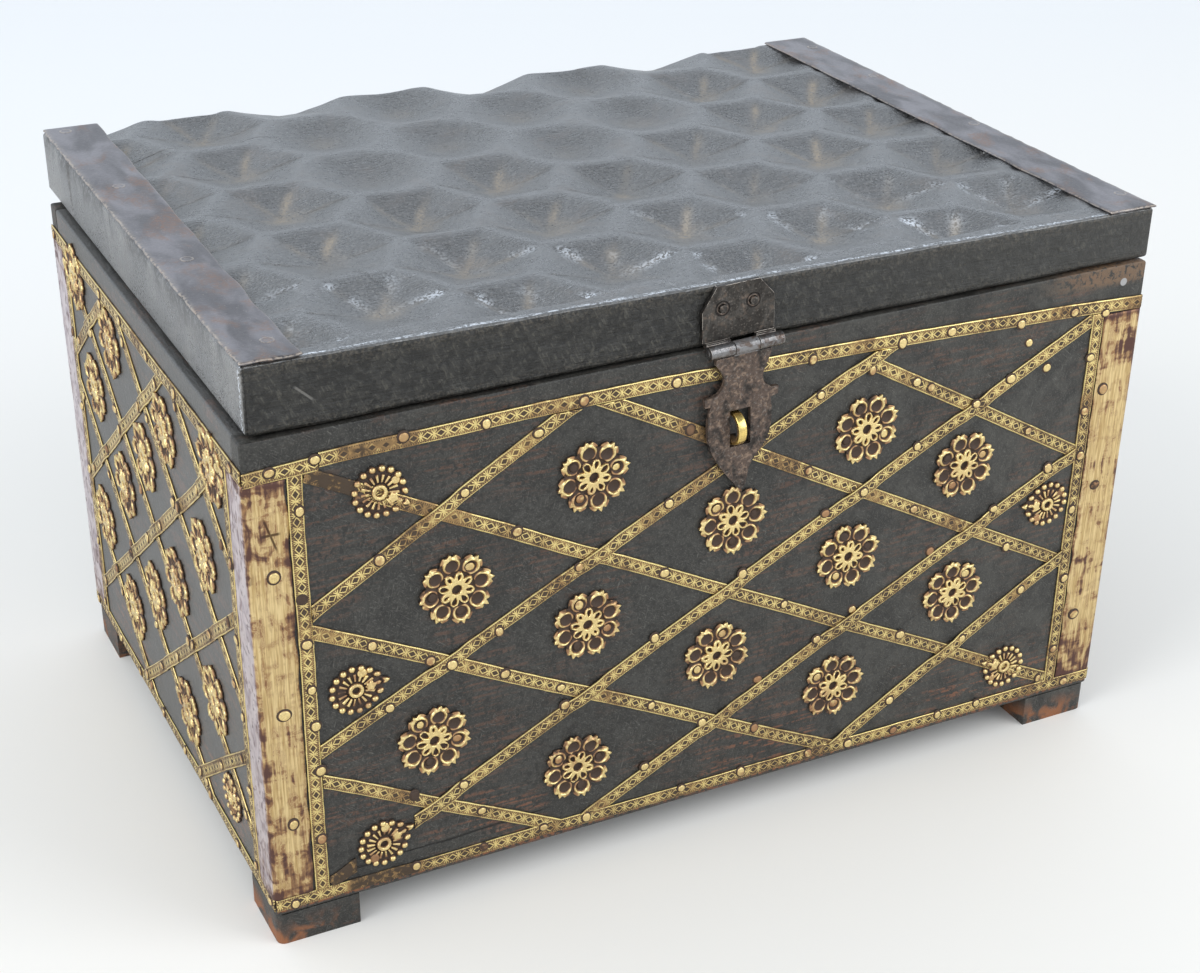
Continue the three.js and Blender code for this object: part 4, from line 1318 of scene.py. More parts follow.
@dataclass(frozen=True)
class Drop(Stamping):
    """A drop-shaped ornament: beads round a fan of rays, with a ringed hole and a shell at the tip."""

    rings: int = 36
    around: int = 192
    size: float = 8.4
    beads: int = 16

    def oval(self, angle: Array) -> Array:
        """Returns the rim without its beads, nearly round and drawn out to a point at angle 0."""
        side = np.abs(np.mod(angle + math.pi, 2 * math.pi) - math.pi)
        corners = [0, 0.16, 0.45, 0.9, 1.5, math.pi]
        return self.size * np.interp(side, corners, [1.28, 1.12, 1.03, 0.98, 0.98, 1.0])

    def outline(self, angle: Array) -> Array:
        """Returns the rim, scalloped by the beads."""
        return self.oval(angle) * (0.945 + 0.055 * np.cos(self.beads * angle))

    def relief(self, radius: Array, angle: Array, seed: int) -> Array:
        """Returns the height: beads along the rim, a trench, rays, the ring round the hole and the shell."""
        rim = self.oval(angle)
        step = 2 * math.pi / self.beads
        near = np.mod(angle + step / 2, step) - step / 2
        inward = rim - radius
        bead = np.hypot((inward - 1.15) / 1.20, near * (rim - 1.15) / 1.20)
        beads = np.sqrt(np.clip(1 - bead**2, 0, 1))
        uneven = 0.78 + 0.22 * ripple(5.0, seed, radius * np.cos(angle), radius * np.sin(angle))
        rays = 0.20 + 0.68 * smooth(0.30, 0.75, 0.5 + 0.5 * np.cos(17 * angle)) * uneven
        fan = rays * smooth(2.6, 3.0, inward) * smooth(2.6, 3.0, radius)
        ring = 0.98 * smooth(1.05, 1.35, radius) * smooth(2.5, 2.15, radius)
        x, y = radius * np.cos(angle) - 4.6, radius * np.sin(angle)
        lobes = 1.7 * (1 + 0.12 * np.cos(5 * np.arctan2(y, x)))
        shell = 0.95 * smooth(lobes, lobes - 0.45, np.hypot(x, y))
        return np.maximum.reduce([np.full_like(radius, 0.10), beads, fan, ring, shell])


@dataclass(frozen=True)
class Strapping:
    """The brass strips, nails and ornaments of one side of the case.

    Attributes:
        face: the side of the case.
        rising: the strips that rise to the right: U where each crosses the height middle, and its slope.
        falling: the same for the strips that fall to the right.
        rosettes: U, V and turn of each rosette.
        drops: U, V and turn of each drop ornament.
        nails: U, V and, for brown ones, brownness of each nail, or none to have them laid out.
        middle: that height.
        fine: distance between the points of a strip.
        breaks: strips that have a piece missing, by name, with the U between which it is missing.
        stains: dirty stretches of the strips, by name.
        peak: U of the highest point of the upper band.
        seed: which of the possible small irregularities it has.
    """

    face: Face
    rising: tuple[Pair, ...]
    falling: tuple[Pair, ...]
    rosettes: tuple[Triple, ...]
    drops: tuple[Triple, ...]
    nails: tuple[tuple[float, ...], ...] = ()
    middle: float = 88.0
    fine: float = 0.8
    breaks: dict[str, Pair] = field(default_factory=dict)
    stains: dict[str, tuple[Triple, ...]] = field(default_factory=dict)
    peak: float = 0.0
    seed: int = 1

    SHORTEST = 7.5
    NAIL_PITCH = 25.0
    NAIL_MARGIN = 5.0
    GAP = 0.05
    BAND_THICK = 0.52
    STRIP_THICK = 0.5
    PETAL_NAIL = 7.6
    DROP_NAIL = 5.6

    def node_box(self, node: str) -> Quad:
        """Returns lowest and highest U and V of a node on this face."""
        low, high = CASE.box(f"{node}_{self.face.value}" if node.endswith("band") else node)
        if self.face is Face.FRONT:
            u = (low[0], high[0])
        elif self.face is Face.LEFT:
            u = (-high[1], -low[1])
        else:
            u = (low[1], high[1])
        return u[0], u[1], low[2], high[2]

    def post(self, mark: str) -> Quad:
        """Returns lowest and highest U and V of a post strip."""
        return self.node_box(f"post_strip_{self.face.value}_{mark}")

    def width(self) -> float:
        """Returns the width of the strips."""
        a = self.post("a")
        return a[1] - a[0]

    def arch(self) -> Arch:
        """Returns how the upper band bows, from how much higher its box is than a strip is wide."""
        u0, u1, v0, v1 = self.node_box("top_band")
        return Arch(max(v1 - v0 - self.width(), 0.0), self.peak, (u1 - u0) / 2 + self.GAP)

    def bounds(self) -> Quad:
        """Returns the field between the post strips and the bands, up to the ends of the upper band."""
        low, top = self.node_box("low_band"), self.node_box("top_band")
        return (
            self.post("a")[1] + self.GAP,
            self.post("b")[0] - self.GAP,
            low[3] + self.GAP,
            top[2] - self.GAP,
        )

    def alike(self) -> dict[str, object]:
        """Returns what all strips of the face have in common."""
        return {"face": self.face, "width": self.width(), "arch": self.arch(), "step": self.fine}

    def frame_strips(self) -> dict[str, Strip]:
        """Returns the two bands and the two post strips, by node."""
        side, first, alike = self.face.value, self.seed * 100, self.alike()
        low, top = self.node_box("low_band"), self.node_box("top_band")
        level = top[2] + alike["width"] / 2
        made = {}
        for number, (band, (u0, u1, v0, v1)) in enumerate((("top_band", top), ("low_band", low))):
            bowed = band == "top_band"
            made[f"{band}_{side}"] = Strip(
                point=((u0 + u1) / 2, level if bowed else (v0 + v1) / 2), angle=0.0,
                bounds=(u0, u1, v0 - 5, v1 + 5), thick=self.BAND_THICK, bowed=bowed,
                stains=self.stains.get(band, ()), seed=first + number,
                **(alike if bowed else {**alike, "width": alike["width"] * 0.9}),
            )
        for number, mark in enumerate("ab"):
            u0, u1, v0, _ = self.post(mark)
            made[f"post_strip_{side}_{mark}"] = Strip(
                point=((u0 + u1) / 2, self.middle), angle=math.pi / 2,
                bounds=(u0 - 5, u1 + 5, v0, top[2] - self.GAP), thick=self.STRIP_THICK,
                seed=first + 10 + number, **alike,
            )
        return made

    def lattice(self) -> dict[str, Strip]:
        """Returns the diagonal strips, by name, the rising ones stepping over the falling ones."""
        bounds, alike = self.bounds(), self.alike()
        made = {}
        for kind, lanes, sign, others in (
            ("falling", self.falling, -1, ()),
            ("rising", self.rising, 1, self.falling),
        ):
            number = 0
            for place, slope in lanes:
                angle = math.atan(sign * slope)
                crossed = []
                for other, fall in others:
                    u = (sign * slope * place + fall * other) / (sign * slope + fall)
                    crossed.append((u - place) / math.cos(angle))
                strip = Strip(
                    point=(place, self.middle), angle=angle, bounds=bounds, thick=self.STRIP_THICK,
                    crossed=tuple(crossed), stains=self.stains.get(f"{kind}_{number + 1}", ()),
                    seed=self.seed * 100 + 20 + len(made), **alike,
                )
                near, far = strip.span(np.array([0.0]))
                if (far - near)[0] * math.cos(angle) < self.SHORTEST:
                    continue
                number += 1
                made[f"{kind}_{number}"] = strip
        return made

    def laid_nails(self, strips: dict[str, Strip]) -> list[Triple]:
        """Returns nails by rule: along each strip, a pitch apart with a little scatter."""
        random = np.random.default_rng(self.seed)
        found = []
        for strip in strips.values():
            near, far = (float(x[0]) for x in strip.span(np.array([0.0])))
            count = max(2, round((far - near) / self.NAIL_PITCH))
            even = np.linspace(near + self.NAIL_MARGIN, far - self.NAIL_MARGIN, count)
            along, up = math.cos(strip.angle), math.sin(strip.angle)
            for s in even + random.uniform(-2.5, 2.5, count):
                t = random.uniform(-0.35, 0.35) + float(strip.wander(np.array([s]))[0])
                u, v = strip.point[0] + s * along - t * up, strip.point[1] + s * up + t * along
                found.append((u, v, 0.42 if random.uniform() < 0.12 else 0.0))
        return found

    def build(self, brass: Material, relief: Material) -> None:
        """Makes every strip, ornament and nail of the face.

        Args:
            brass: finish of the strips.
            relief: finish of the ornaments and nails.
        """
        frames, lattice = self.frame_strips(), self.lattice()
        lengths = {name: self.cut(name, strip) for name, strip in frames.items()}
        net = f"lattice_{self.face.value}"
        if self.face is Face.FRONT:
            lengths |= {f"{net}_{name}": self.cut(name, strip) for name, strip in lattice.items()}
        else:
            lengths[net] = list(lattice.values())
        for node, strips in lengths.items():
            surface = together([strip.surface() for strip in strips])
            Piece(f"{node}_stamped", Body.BOX, "brass_strip", (node,)).make(surface, brass)
        self.build_ornaments(relief)
        self.build_nails({**frames, **lattice}, relief)

    def cut(self, name: str, strip: Strip) -> list[Strip]:
        """Returns the strip, or the lengths that are left of it, the left one of a bowed strip set lower."""
        if name not in self.breaks:
            return [strip]
        low, high = self.breaks[name]
        u0, u1, v0, v1 = strip.bounds
        lengths = [(a, b) for a, b in ((u0, low), (high, u1)) if b - a > 1.0]
        parts = [replace(strip, bounds=(a, b, v0, v1)) for a, b in lengths]
        if strip.bowed:
            parts[0] = replace(parts[0], point=(strip.point[0], strip.point[1] - 0.75), seed=strip.seed + 8)
        return parts

    def build_ornaments(self, material: Material) -> None:
        """Makes the rosettes and the drops."""
        coarse = self.face is not Face.FRONT
        flower = Rosette(rings=26, around=120, high=1.3) if coarse else Rosette()
        ornament = Drop(rings=24, around=128, high=1.3) if coarse else Drop()
        for kind, shape, places, seed in (
            ("rosettes", flower, self.rosettes, self.seed * 50),
            ("drops", ornament, self.drops, self.seed * 70),
        ):
            surfaces = [
                shape.surface(self.face, (u, v), turn, seed + i) for i, (u, v, turn) in enumerate(places)
            ]
            Piece(f"{kind}_{self.face.value}", Body.BOX, "brass_strip").make(together(surfaces), material)

    def build_nails(self, strips: dict[str, Strip], material: Material) -> None:
        """Makes the nails of the strips, and those in the petals and drops, on whatever lies under them.

        Args:
            strips: the strips of the face, by name.
            material: finish of the nails.
        """
        places = []
        for u, v, *brown in self.nails or self.laid_nails(strips):
            heights = [h for h in (strip.covers(u, v) for strip in strips.values()) if h is not None]
            places.append((u, v, max(heights, default=0.0), brown[0] if brown else 0.0))
        pins = []
        for number, (u, v, turn) in enumerate(self.rosettes):
            browns = {number: 0.1, number + 3: 0.85, number + 5: 0.75 if number % 2 else 0.2}
            pins += [(u, v, turn + 45 * n, self.PETAL_NAIL, 0.28, brown) for n, brown in browns.items()]
        for u, v, turn in self.drops:
            pins += [(u, v, turn + on, self.DROP_NAIL, 0.45, brown) for on, brown in ((60, 0.1), (215, 0.5))]
        for u, v, angle, far, height, brown in pins:
            where = math.radians(angle)
            places.append((u + far * math.cos(where), v + far * math.sin(where), height, brown))
        heads = Nails().surface(self.face, np.array(places), self.seed)
        Piece(f"nails_{self.face.value}", Body.BOX, "brass_strip").make(heads, material)


@dataclass(frozen=True)
class CornerPlates:
    """The four folded brass plates that clasp the corners of the case."""

    thick: float = 0.45
    gap: float = 0.05
    fold: float = 0.65
    step: float = 1.0

    NAILS = (
        (-143.8, 126.1, 0.0), (-143.8, 81.3, 0.1), (-143.5, 43.2, 0.0),
        (139.3, 128.4, 0.2), (141.6, 92.6, 0.3), (140.3, 42.3, 0.1),
    )

    def surface(self, name: str, sx: int, sy: int) -> Surface:
        """Works out one plate.

        The developed width a runs from one free edge over the fold to the other. In the fold, both distances
        from the case's corner are c - (c + w) cos and c - (c + w) sin of an angle, and beyond it the plate
        is flat. The plate is dented by a slow ripple, and dirt gathers at its edges and its fold.

        Args:
            name: which corner.
            sx: side of the corner along X.
            sy: side of the corner along Y.

        Returns:
            The closed surface.
        """
        low, high = CASE.box(f"corner_plate_{name}")
        wide_x, wide_y = high[0] - low[0] - self.thick, high[1] - low[1] - self.thick
        arc = (self.fold + self.gap + self.thick) * math.pi / 4
        bend = np.linspace(-arc, arc, 9)[1:-1]
        a = np.concatenate([np.linspace(-wide_y, -arc, 15), bend, np.linspace(arc, wide_x, 15)])
        z = np.linspace(low[2] + 0.1, high[2] - 0.1, int((high[2] - low[2]) / self.step))[:, None]
        seed = 300 + 2 * sx + sy
        rings = []
        for upper in (True, False):
            out = self.gap + (self.thick if upper else 0.0)
            w = out + 0.10 * (1 + ripple(14.0, seed, a, z)) * (np.abs(np.abs(a) - 6) < 5.2)
            k = np.clip(a / arc, -1, 1)
            angle = (k + 1) / 2 * math.pi / 2
            edge_x = np.maximum(a - arc, 0) / (wide_x - arc)
            edge_y = np.maximum(-a - arc, 0) / (wide_y - arc)
            p = self.fold - (self.fold + w) * np.cos(angle) + np.maximum(a - arc, 0)
            q = self.fold - (self.fold + w) * np.sin(angle) + np.maximum(-a - arc, 0)
            p = p + edge_x**4 * 0.35 * (ripple(17.0, seed + 1, z) - 0.6)
            q = q + edge_y**4 * 0.35 * (ripple(17.0, seed + 2, z) - 0.6)
            x, y = sx * (CASE.half_width - p), sy * (CASE.half_depth - q)
            points = np.stack(np.broadcast_arrays(x, y, z + 0 * a), -1)
            rings.append(points if upper else points[:, ::-1])
        grid = np.concatenate(rings, 1)
        darkening = smooth(1.6, 0.0, np.minimum(a + wide_y, wide_x - a)) * 0.5 + 0.6 * hill(a, 1.2)
        ends = smooth(5.0, 0.0, np.minimum(z - low[2], high[2] - z))
        darkening = np.clip(darkening + ends * 0.6, 0, 1)
        aside = smooth(-arc * 0.2, -arc, a) + 0 * darkening
        values = {
            "recess": np.concatenate([darkening, np.full_like(darkening, 0.5)], 1),
            "aside": np.concatenate([aside, aside[:, ::-1]], 1),
        }
        return tube(grid, values)

    def build(self, sheet: Material, relief: Material) -> None:
        """Makes the plates and the nails in their fronts."""
        corners = (("front_left", -1, -1), ("front_right", 1, -1), ("back_right", 1, 1), ("back_left", -1, 1))
        for name, sx, sy in corners:
            node = f"corner_plate_{name}"
            surface = self.surface(name, sx, sy)
            Piece(f"{node}_sheet", Body.BOX, "brass_plate", (node,)).make(surface, sheet)
        places = [(u, z, self.gap + self.thick + 0.15, brown) for u, z, brown in self.NAILS]
        heads = Nails(radius=1.5).surface(Face.FRONT, np.array(places), 9)
        Piece("nails_corner_plates", Body.BOX, "brass_plate").make(heads, relief)


@dataclass(frozen=True)
class Carving:
    """The honeycomb of six-sided pits in the lid, whose corners point along X.

    Attributes:
        cell: corner radius of a whole cell.
        pit: corner radius of a pit.
        deep: depth of a pit.
        origin: X and Y of the pit that the columns and rows count from.
        dishes: column and row of the pits that are worn to smooth bowls.
        dish_radius: radius of those.
        dish_deep: depth of those.
        border: width of the plain border along the front.
    """

    cell: float = 24.2
    pit: float = 22.3
    deep: float = 6.0
    origin: Pair = (-26.4, -30.5)
    dishes: tuple[tuple[int, int], ...] = ((-1, 1), (-1, 2), (0, 2), (0, 3), (1, 1), (1, 2), (2, 2), (2, 3))
    dish_radius: float = 20.5
    dish_deep: float = 4.4
    border: float = 8.0

    def centres(self) -> list[tuple[int, int, float, float]]:
        """Returns column, row, X and Y of every pit that may touch the lid."""
        column, row = 1.5 * self.cell, math.sqrt(3) * self.cell
        return [
            (i, j, self.origin[0] + i * column, self.origin[1] + (j + (abs(i) % 2) / 2) * row)
            for i in range(-5, 7)
            for j in range(-3, 5)
        ]

    def carve(self, x: Array, y: Array) -> tuple[Array, Array, Array, Array]:
        """Works out the depth of the carving, the dust in it and where highlights are painted.

        A pit's facets fall evenly from its rim, where the largest of the three distances across its pairs of
        sides reaches the apothem, to its point, which lies a little off the middle. With f the share of the
        fall that is left, the rim is rounded by (f + root of (f^2 + e^2)) / 2. The crease between two facets
        is where two of the distances are alike. Dust gathers most in the crease that runs back from the
        point, and highlights are painted in the creases on both sides of it. The creases that run to the left
        and right are darkened. All lines stray by half a millimetre.

        Args:
            x: X of the points.
            y: Y of the points.

        Returns:
            Depth in millimetres, and dust, glint and seam from 0 to 1.
        """
        x, y = x + 0.55 * ripple(19.0, 71, x, y), y + 0.55 * ripple(17.0, 72, x, y)
        depth, dust, glint, seam = (np.zeros_like(x) for _ in range(4))
        random = np.random.default_rng(5)
        half = math.cos(math.pi / 6)
        for i, j, cx, cy in self.centres():
            turn = random.uniform(-0.045, 0.045)
            deep = self.deep * random.uniform(0.84, 1.08)
            stray = random.uniform(-1.0, 1.0, 2)
            wide = random.uniform(0.97, 1.02, 3)
            dx, dy = x - cx, y - cy
            dx, dy = dx * math.cos(turn) + dy * math.sin(turn), dy * math.cos(turn) - dx * math.sin(turn)
            if (i, j) in self.dishes:
                r = np.hypot(dx, dy) / self.dish_radius
                depth = np.maximum(depth, self.dish_deep * smooth(1.04, 0.0, r) ** 0.75)
                dust = np.maximum(dust, 0.25 * smooth(0.5, 0.0, r))
                continue
            apothem = self.pit * half
            lines = np.stack([dy * wide[0], (half * dx + dy / 2) * wide[1], (half * dx - dy / 2) * wide[2]])
            rim = np.abs(lines).max(0) / apothem
            tips = np.stack([dy - stray[1], half * (dx - stray[0]) + dy / 2, half * (dx - stray[0]) - dy / 2])
            blend = np.clip(rim, 0, 1)
            norm = rim * blend + np.abs(tips).max(0) / apothem * (1 - blend)
            left = np.clip(1 - norm, -1, 1)
            fall = (left + np.sqrt(left**2 + 0.045**2)) / 2 * smooth(-0.14, 0.0, left)
            hollow = deep * (fall + 0.07 * np.sin(math.pi * np.clip(fall, 0, 1)))
            depth = np.maximum(depth, hollow)
            across = np.sort(np.abs(tips), 0)
            crease = hill((across[2] - across[1]) / 2, 0.75)
            heading = np.degrees(np.arctan2(dy - stray[1], dx - stray[0]))
            back = hill(heading - 60, 22.0)
            beside = np.maximum(hill(heading, 22.0), hill(heading - 120, 22.0))
            share = (0.15 + 0.80 * back + 0.25 * beside) * random.uniform(0.6, 1.1)
            dust = np.maximum(dust, crease * smooth(0.05, 0.40, fall) * share)
            dust = np.maximum(dust, smooth(0.74, 0.98, fall) * random.uniform(0.5, 0.95))
            dust = np.maximum(dust, 0.45 * smooth(0.42, 0.85, fall) * (heading < 62))
            broad = hill((across[2] - across[1]) / 2, 1.4)
            # Painted highlights go along the creases beside the one that runs back.
            glint = np.maximum(glint, broad * (beside + 0.4 * back) * smooth(0.02, 0.12, fall) * (1 - fall))
            # The creases that run to the left and right are darkened.
            sideways = hill(np.abs(heading) - 176, 14.0) + hill(heading + 4, 14.0)
            darkening = hill(across[2] - across[1], 0.5) * sideways * smooth(0.02, 0.1, fall) * (1 - fall)
            seam = np.maximum(seam, darkening)
        return depth, dust, glint, seam


@dataclass(frozen=True)
class Lid:
    """The lid: two carved planks, the metal sheets nailed over their ends, and the nails in those."""

    carving: Carving = Carving()
    step: float = 0.88
    round_top: float = 1.4
    round_end: float = 1.5
    sheet_thick: float = 0.62

    SHEET_NAILS = {
        "left": ((-141.3, 108.6), (-139.7, 47.1), (-138.6, -22.7), (-136.4, -88.4)),
        "right": ((147.6, 100.0), (148.2, 57.1), (148.6, -7.1), (148.9, -87.5)),
    }

    def spread(self, low: float, high: float, radius: float, step: float) -> Array:
        """Returns places from low to high, close together in the rounded edges."""
        edge = radius * np.array([0.0, 0.07, 0.22, 0.45, 0.75, 1.0])
        count = int((high - low - 2 * radius) / step)
        inner = np.linspace(low + radius, high - radius, count)[1:-1]
        return np.concatenate([low + edge, inner, high - edge[::-1]])

    def plank(self, node: str, front: float, back: float) -> Surface:
        """Works out one plank as sections across Y and Z that follow each other along X.

        A section runs over the top from front to back, down the back, along the underside and up the front.
        The top is the lid's height less the carving and the rounded edges. Near the plank's two ends each
        section shrinks by the drop of a rounded edge.

        Args:
            node: the plank's node.
            front: radius of its front upper edge.
            back: radius of its back upper edge.

        Returns:
            The closed surface.
        """
        low, high = CASE.box(node)
        is_rear = node == "lid_rear_plank"
        shut = 0.13
        low[1] -= shut if is_rear else 0.0
        high[1] += 0.0 if is_rear else shut
        x = self.spread(low[0], high[0], self.round_end, self.step)[:, None]
        y = self.spread(low[1], high[1], 1.5, self.step)[None, :]
        gx, gy = np.broadcast_arrays(x, y)
        under = CASE.rim(x) + 0.75 + 0.22 * (1 + ripple(42.0, 33, x))
        depth, dust, glint, seam = self.carving.carve(gx, gy)
        lid_front = CASE.box("lid_main_plank")[0][1]
        left, right = CASE.box("lid_strip_left")[1][0], CASE.box("lid_strip_right")[0][0]
        window = smooth(left - 1.2, left + 0.4, gx) * smooth(right + 3.4, right + 1.6, gx)
        border = lid_front + self.carving.border + 0.8 * ripple(30.0, 8, gx)
        window = window * smooth(border - 2.2, border + 1.0, gy)
        sag = drop(gy - low[1], front) + drop(high[1] - gy, back)
        bumps = 0.12 * ripple(21.0, 3, gx, gy) + 0.05 * ripple(5.0, 4, gx, gy)
        open_top = smooth(left - 0.5, left + 0.5, gx) * smooth(right + 0.5, right - 0.5, gx)
        top = high[2] - depth * window - sag - 0.12 * open_top + bumps * open_top * 0.8
        top = np.minimum(top, high[2] + 0.02)
        walls = 22
        down = np.linspace(0, 1, walls + 2)[1:-1]
        base = 0.5
        back_z = top[:, -1:] + (under + base - top[:, -1:]) * down
        front_z = top[:, :1] + (under + base - top[:, :1]) * down[::-1]
        edge = np.array([0.0, 0.25, 0.8, 2.0])
        inner = np.linspace(high[1] - base - 8, low[1] + base + 8, 8)
        floor_y = np.concatenate([high[1] - base - edge, inner, low[1] + base + edge[::-1]])[None, :]
        rough_front = 0.20 * (1 + ripple(9.0, 21, gx[:, :1] + 0 * front_z, front_z))
        rough_front = rough_front + self.nicks(gx[:, :1] + 0 * front_z, front_z, low[0])
        front_y = low[1] + (0 * front_z if is_rear else rough_front)
        back_y = high[1] - 0.1 * (1 + ripple(9.0, 23, gx[:, :1] + 0 * back_z, back_z))
        ys = np.concatenate([gy, back_y, floor_y + 0 * under, front_y], 1)
        zs = np.concatenate([top, back_z, under + 0 * floor_y, front_z], 1)
        shrink = drop(x - low[0], self.round_end) + drop(high[0] - x, self.round_end)
        split = 0.9 * smooth(-62.0, -104.0, x) * (0.55 + 0.45 * ripple(13.0, 31, x)) * (not is_rear)
        ys = np.clip(ys, low[1] + shrink, high[1] - shrink - split)
        upper = np.concatenate([np.ones_like(gy), np.zeros((len(x), ys.shape[1] - gy.shape[1]))], 1)
        zs = np.clip(zs - shrink * upper, under + shrink * (1 - upper), None)
        grid = np.stack(np.broadcast_arrays(x, ys, zs), -1)
        ridge = smooth(1.1, 0.1, depth) * window
        edge = smooth(2.2, 0.4, gy - low[1]) * (not is_rear) + smooth(2.2, 0.4, high[1] - gy) * is_rear
        worn = np.clip(ridge * 0.7 + edge, 0, 1)
        rest = np.zeros((len(x), ys.shape[1] - gy.shape[1]))
        rest[:, -3:] = 0.5
        foot = walls + floor_y.shape[1]
        rest[:, foot: foot + 2] = 0.6
        carved = {"dust": dust, "glint": glint, "seam": seam}
        values = {name: np.concatenate([value * window, rest * 0], 1) for name, value in carved.items()}
        values["worn"] = np.concatenate([worn, rest], 1)
        return tube(grid, values)

    def nicks(self, x: Array, z: Array, end: float) -> Array:
        """Returns how deep the short nicks in the front left corner are."""
        comb = smooth(0.55, 0.95, 0.5 + 0.5 * np.cos(2 * math.pi * z / 2.3))
        return 0.5 * comb * smooth(6.0, 0.5, x - end)

    def end_sheet(self, node: str, outer: int) -> Surface:
        """Works out one metal sheet as sections across X that follow each other along Y.

        Its outer edge is slightly ragged, its surface waves by a fraction of a millimetre and its front end
        is bent up a little.

        Args:
            node: the sheet's node.
            outer: side of its outer edge along X.

        Returns:
            The closed surface.
        """
        low, high = CASE.box(node)
        y = np.linspace(low[1] + 0.1, high[1] - 0.1, 180)[:, None]
        inner_edge = low[0] if outer > 0 else high[0]
        outer_edge = high[0] if outer > 0 else low[0]
        share = np.concatenate([[0.0, 0.01], np.linspace(0.04, 0.96, 16), [0.99, 1.0]])[None, :]
        seed = 60 + outer
        taper = 1.6 * smooth(-60.0, 110.0, y) * (1 if outer < 0 else 0.4)
        ragged_in = inner_edge - outer * (0.3 * ripple(28.0, seed, y) - 0.3 + taper)
        ragged_out = outer_edge - outer * np.abs(0.35 * ripple(11.0, seed + 1, y) + 0.1)
        x = ragged_in + (ragged_out - ragged_in) * share
        lifted = 0.7 if outer < 0 else 0.3
        bent = lifted * smooth(low[1] + 11, low[1], y) * (0.6 + 0.4 * ripple(7.0, seed + 2, x, 0 * x))
        wave = 0.06 * ripple(24.0, seed + 3, x, y + 0 * x)
        base = low[2] + 0.02 + np.maximum(wave, -0.02) * 0.5 + bent
        rise = np.concatenate([[0.4, 0.85], np.ones(16), [0.85, 0.4]])[None, :]
        top = np.minimum(base + self.sheet_thick * rise, high[2] + bent)
        grid_x = np.concatenate([x, x[:, ::-1]], 1)
        grid_z = np.concatenate([top, base[:, ::-1]], 1)
        grid = np.stack(np.broadcast_arrays(grid_x, y, grid_z), -1)
        ends = smooth(1.2, 0.2, y - low[1])
        worn = np.clip(np.maximum(hill(share - 1.0, 0.035), hill(share, 0.02) * 0.6) + ends, 0, 1)
        return tube(grid, {"worn": np.concatenate([worn, worn[:, ::-1] * 0], 1)})

    def build(self, woods: Sequence[Material], sheet: Material) -> None:
        """Makes the planks, the sheets and the flush nails in the sheets.

        Args:
            woods: finishes of the planks, of the lid's front, which is waxed less, and of its underside.
            sheet: finish of the metal sheets.
        """
        planks = (("lid_main_plank", self.round_top, 0.12), ("lid_rear_plank", 0.12, 1.2))
        for node, front, back in planks:
            surface = self.plank(node, front, back)
            made = Piece(f"{node}_carved", Body.LID, "lid_wood", (node,)).make(surface, woods[0])
            for wood in woods[1:]:
                made.data.materials.append(wood)
            normals = np.empty(len(made.data.polygons) * 3, np.float32)
            made.data.polygons.foreach_get("normal", normals)
            is_front = (normals[1::3] < -0.7) & (node == "lid_main_plank")
            chosen = np.where(normals[2::3] < -0.7, 2, is_front.astype(int))
            made.data.polygons.foreach_set("material_index", chosen.astype(np.int32))
        for side, outer in (("left", -1), ("right", 1)):
            node = f"lid_strip_{side}"
            surface = self.end_sheet(node, outer)
            Piece(f"{node}_sheet", Body.LID, "lid_sheet", (node,)).make(surface, sheet)
            heads = [self.flush_nail(node, x, y) for x, y in self.SHEET_NAILS[side]]
            Piece(f"nails_{node}", Body.LID, "lid_sheet").make(together(heads), sheet)

    def flush_nail(self, node: str, x: float, y: float) -> Surface:
        """Works out one flat nail head: rings that rise by a fraction of a millimetre."""
        low, high = CASE.box(node)
        around = np.linspace(0, 2 * math.pi, 20, endpoint=False)
        radius = np.array([2.05, 2.1, 1.95, 1.5, 1.35, 0.6])[:, None]
        rise = np.array([-0.3, 0.0, 0.07, 0.08, 0.03, 0.05])[:, None]
        z = np.minimum(low[2] + 0.02 + self.sheet_thick + 0.04 + rise, high[2])
        px, py = x + radius * np.cos(around), y + radius * np.sin(around)
        points = np.stack(np.broadcast_arrays(px, py, z), -1)
        worn = np.broadcast_to(np.array([0, 0.3, 0.8, 0.5, 0, 0.2])[:, None], points.shape[:2])
        return tube(points, {"worn": worn})


@dataclass(frozen=True)
class CarriedNodes:
    """Nodes of the frame that keep their own shape and get softened edges and a finish.

    Attributes:
        names: the nodes.
        slot: the record's material slot; not used.
        soften: width of the softened edges, in millimetres.
        segments: number of steps in them.
    """

    names: tuple[str, ...]
    slot: str
    soften: float
    segments: int = 2

    WELD = 0.002
    SHARP = 35.0

    def dress(self, material: Material, edges: Material | None = None) -> None:
        """Gives each node its softened edges and its finish.

        Args:
            material: the finish.
            edges: the finish of the softened edges, where it is another one.
        """
        for name in self.names:
            node = frame["nodes"][name]
            node.data.materials.clear()
            node.data.materials.append(material)
            weld = node.modifiers.new("weld", "WELD")
            weld.merge_threshold = self.WELD * MILLIMETRE
            bevel = node.modifiers.new("soft_edges", "BEVEL")
            bevel.width = self.soften * MILLIMETRE
            bevel.segments = self.segments
            bevel.limit_method = "ANGLE"
            bevel.angle_limit = math.radians(self.SHARP)
            bevel.harden_normals = False
            if edges:
                node.data.materials.append(edges)
                bevel.material = 1
            log.info("%s: carried over", name)


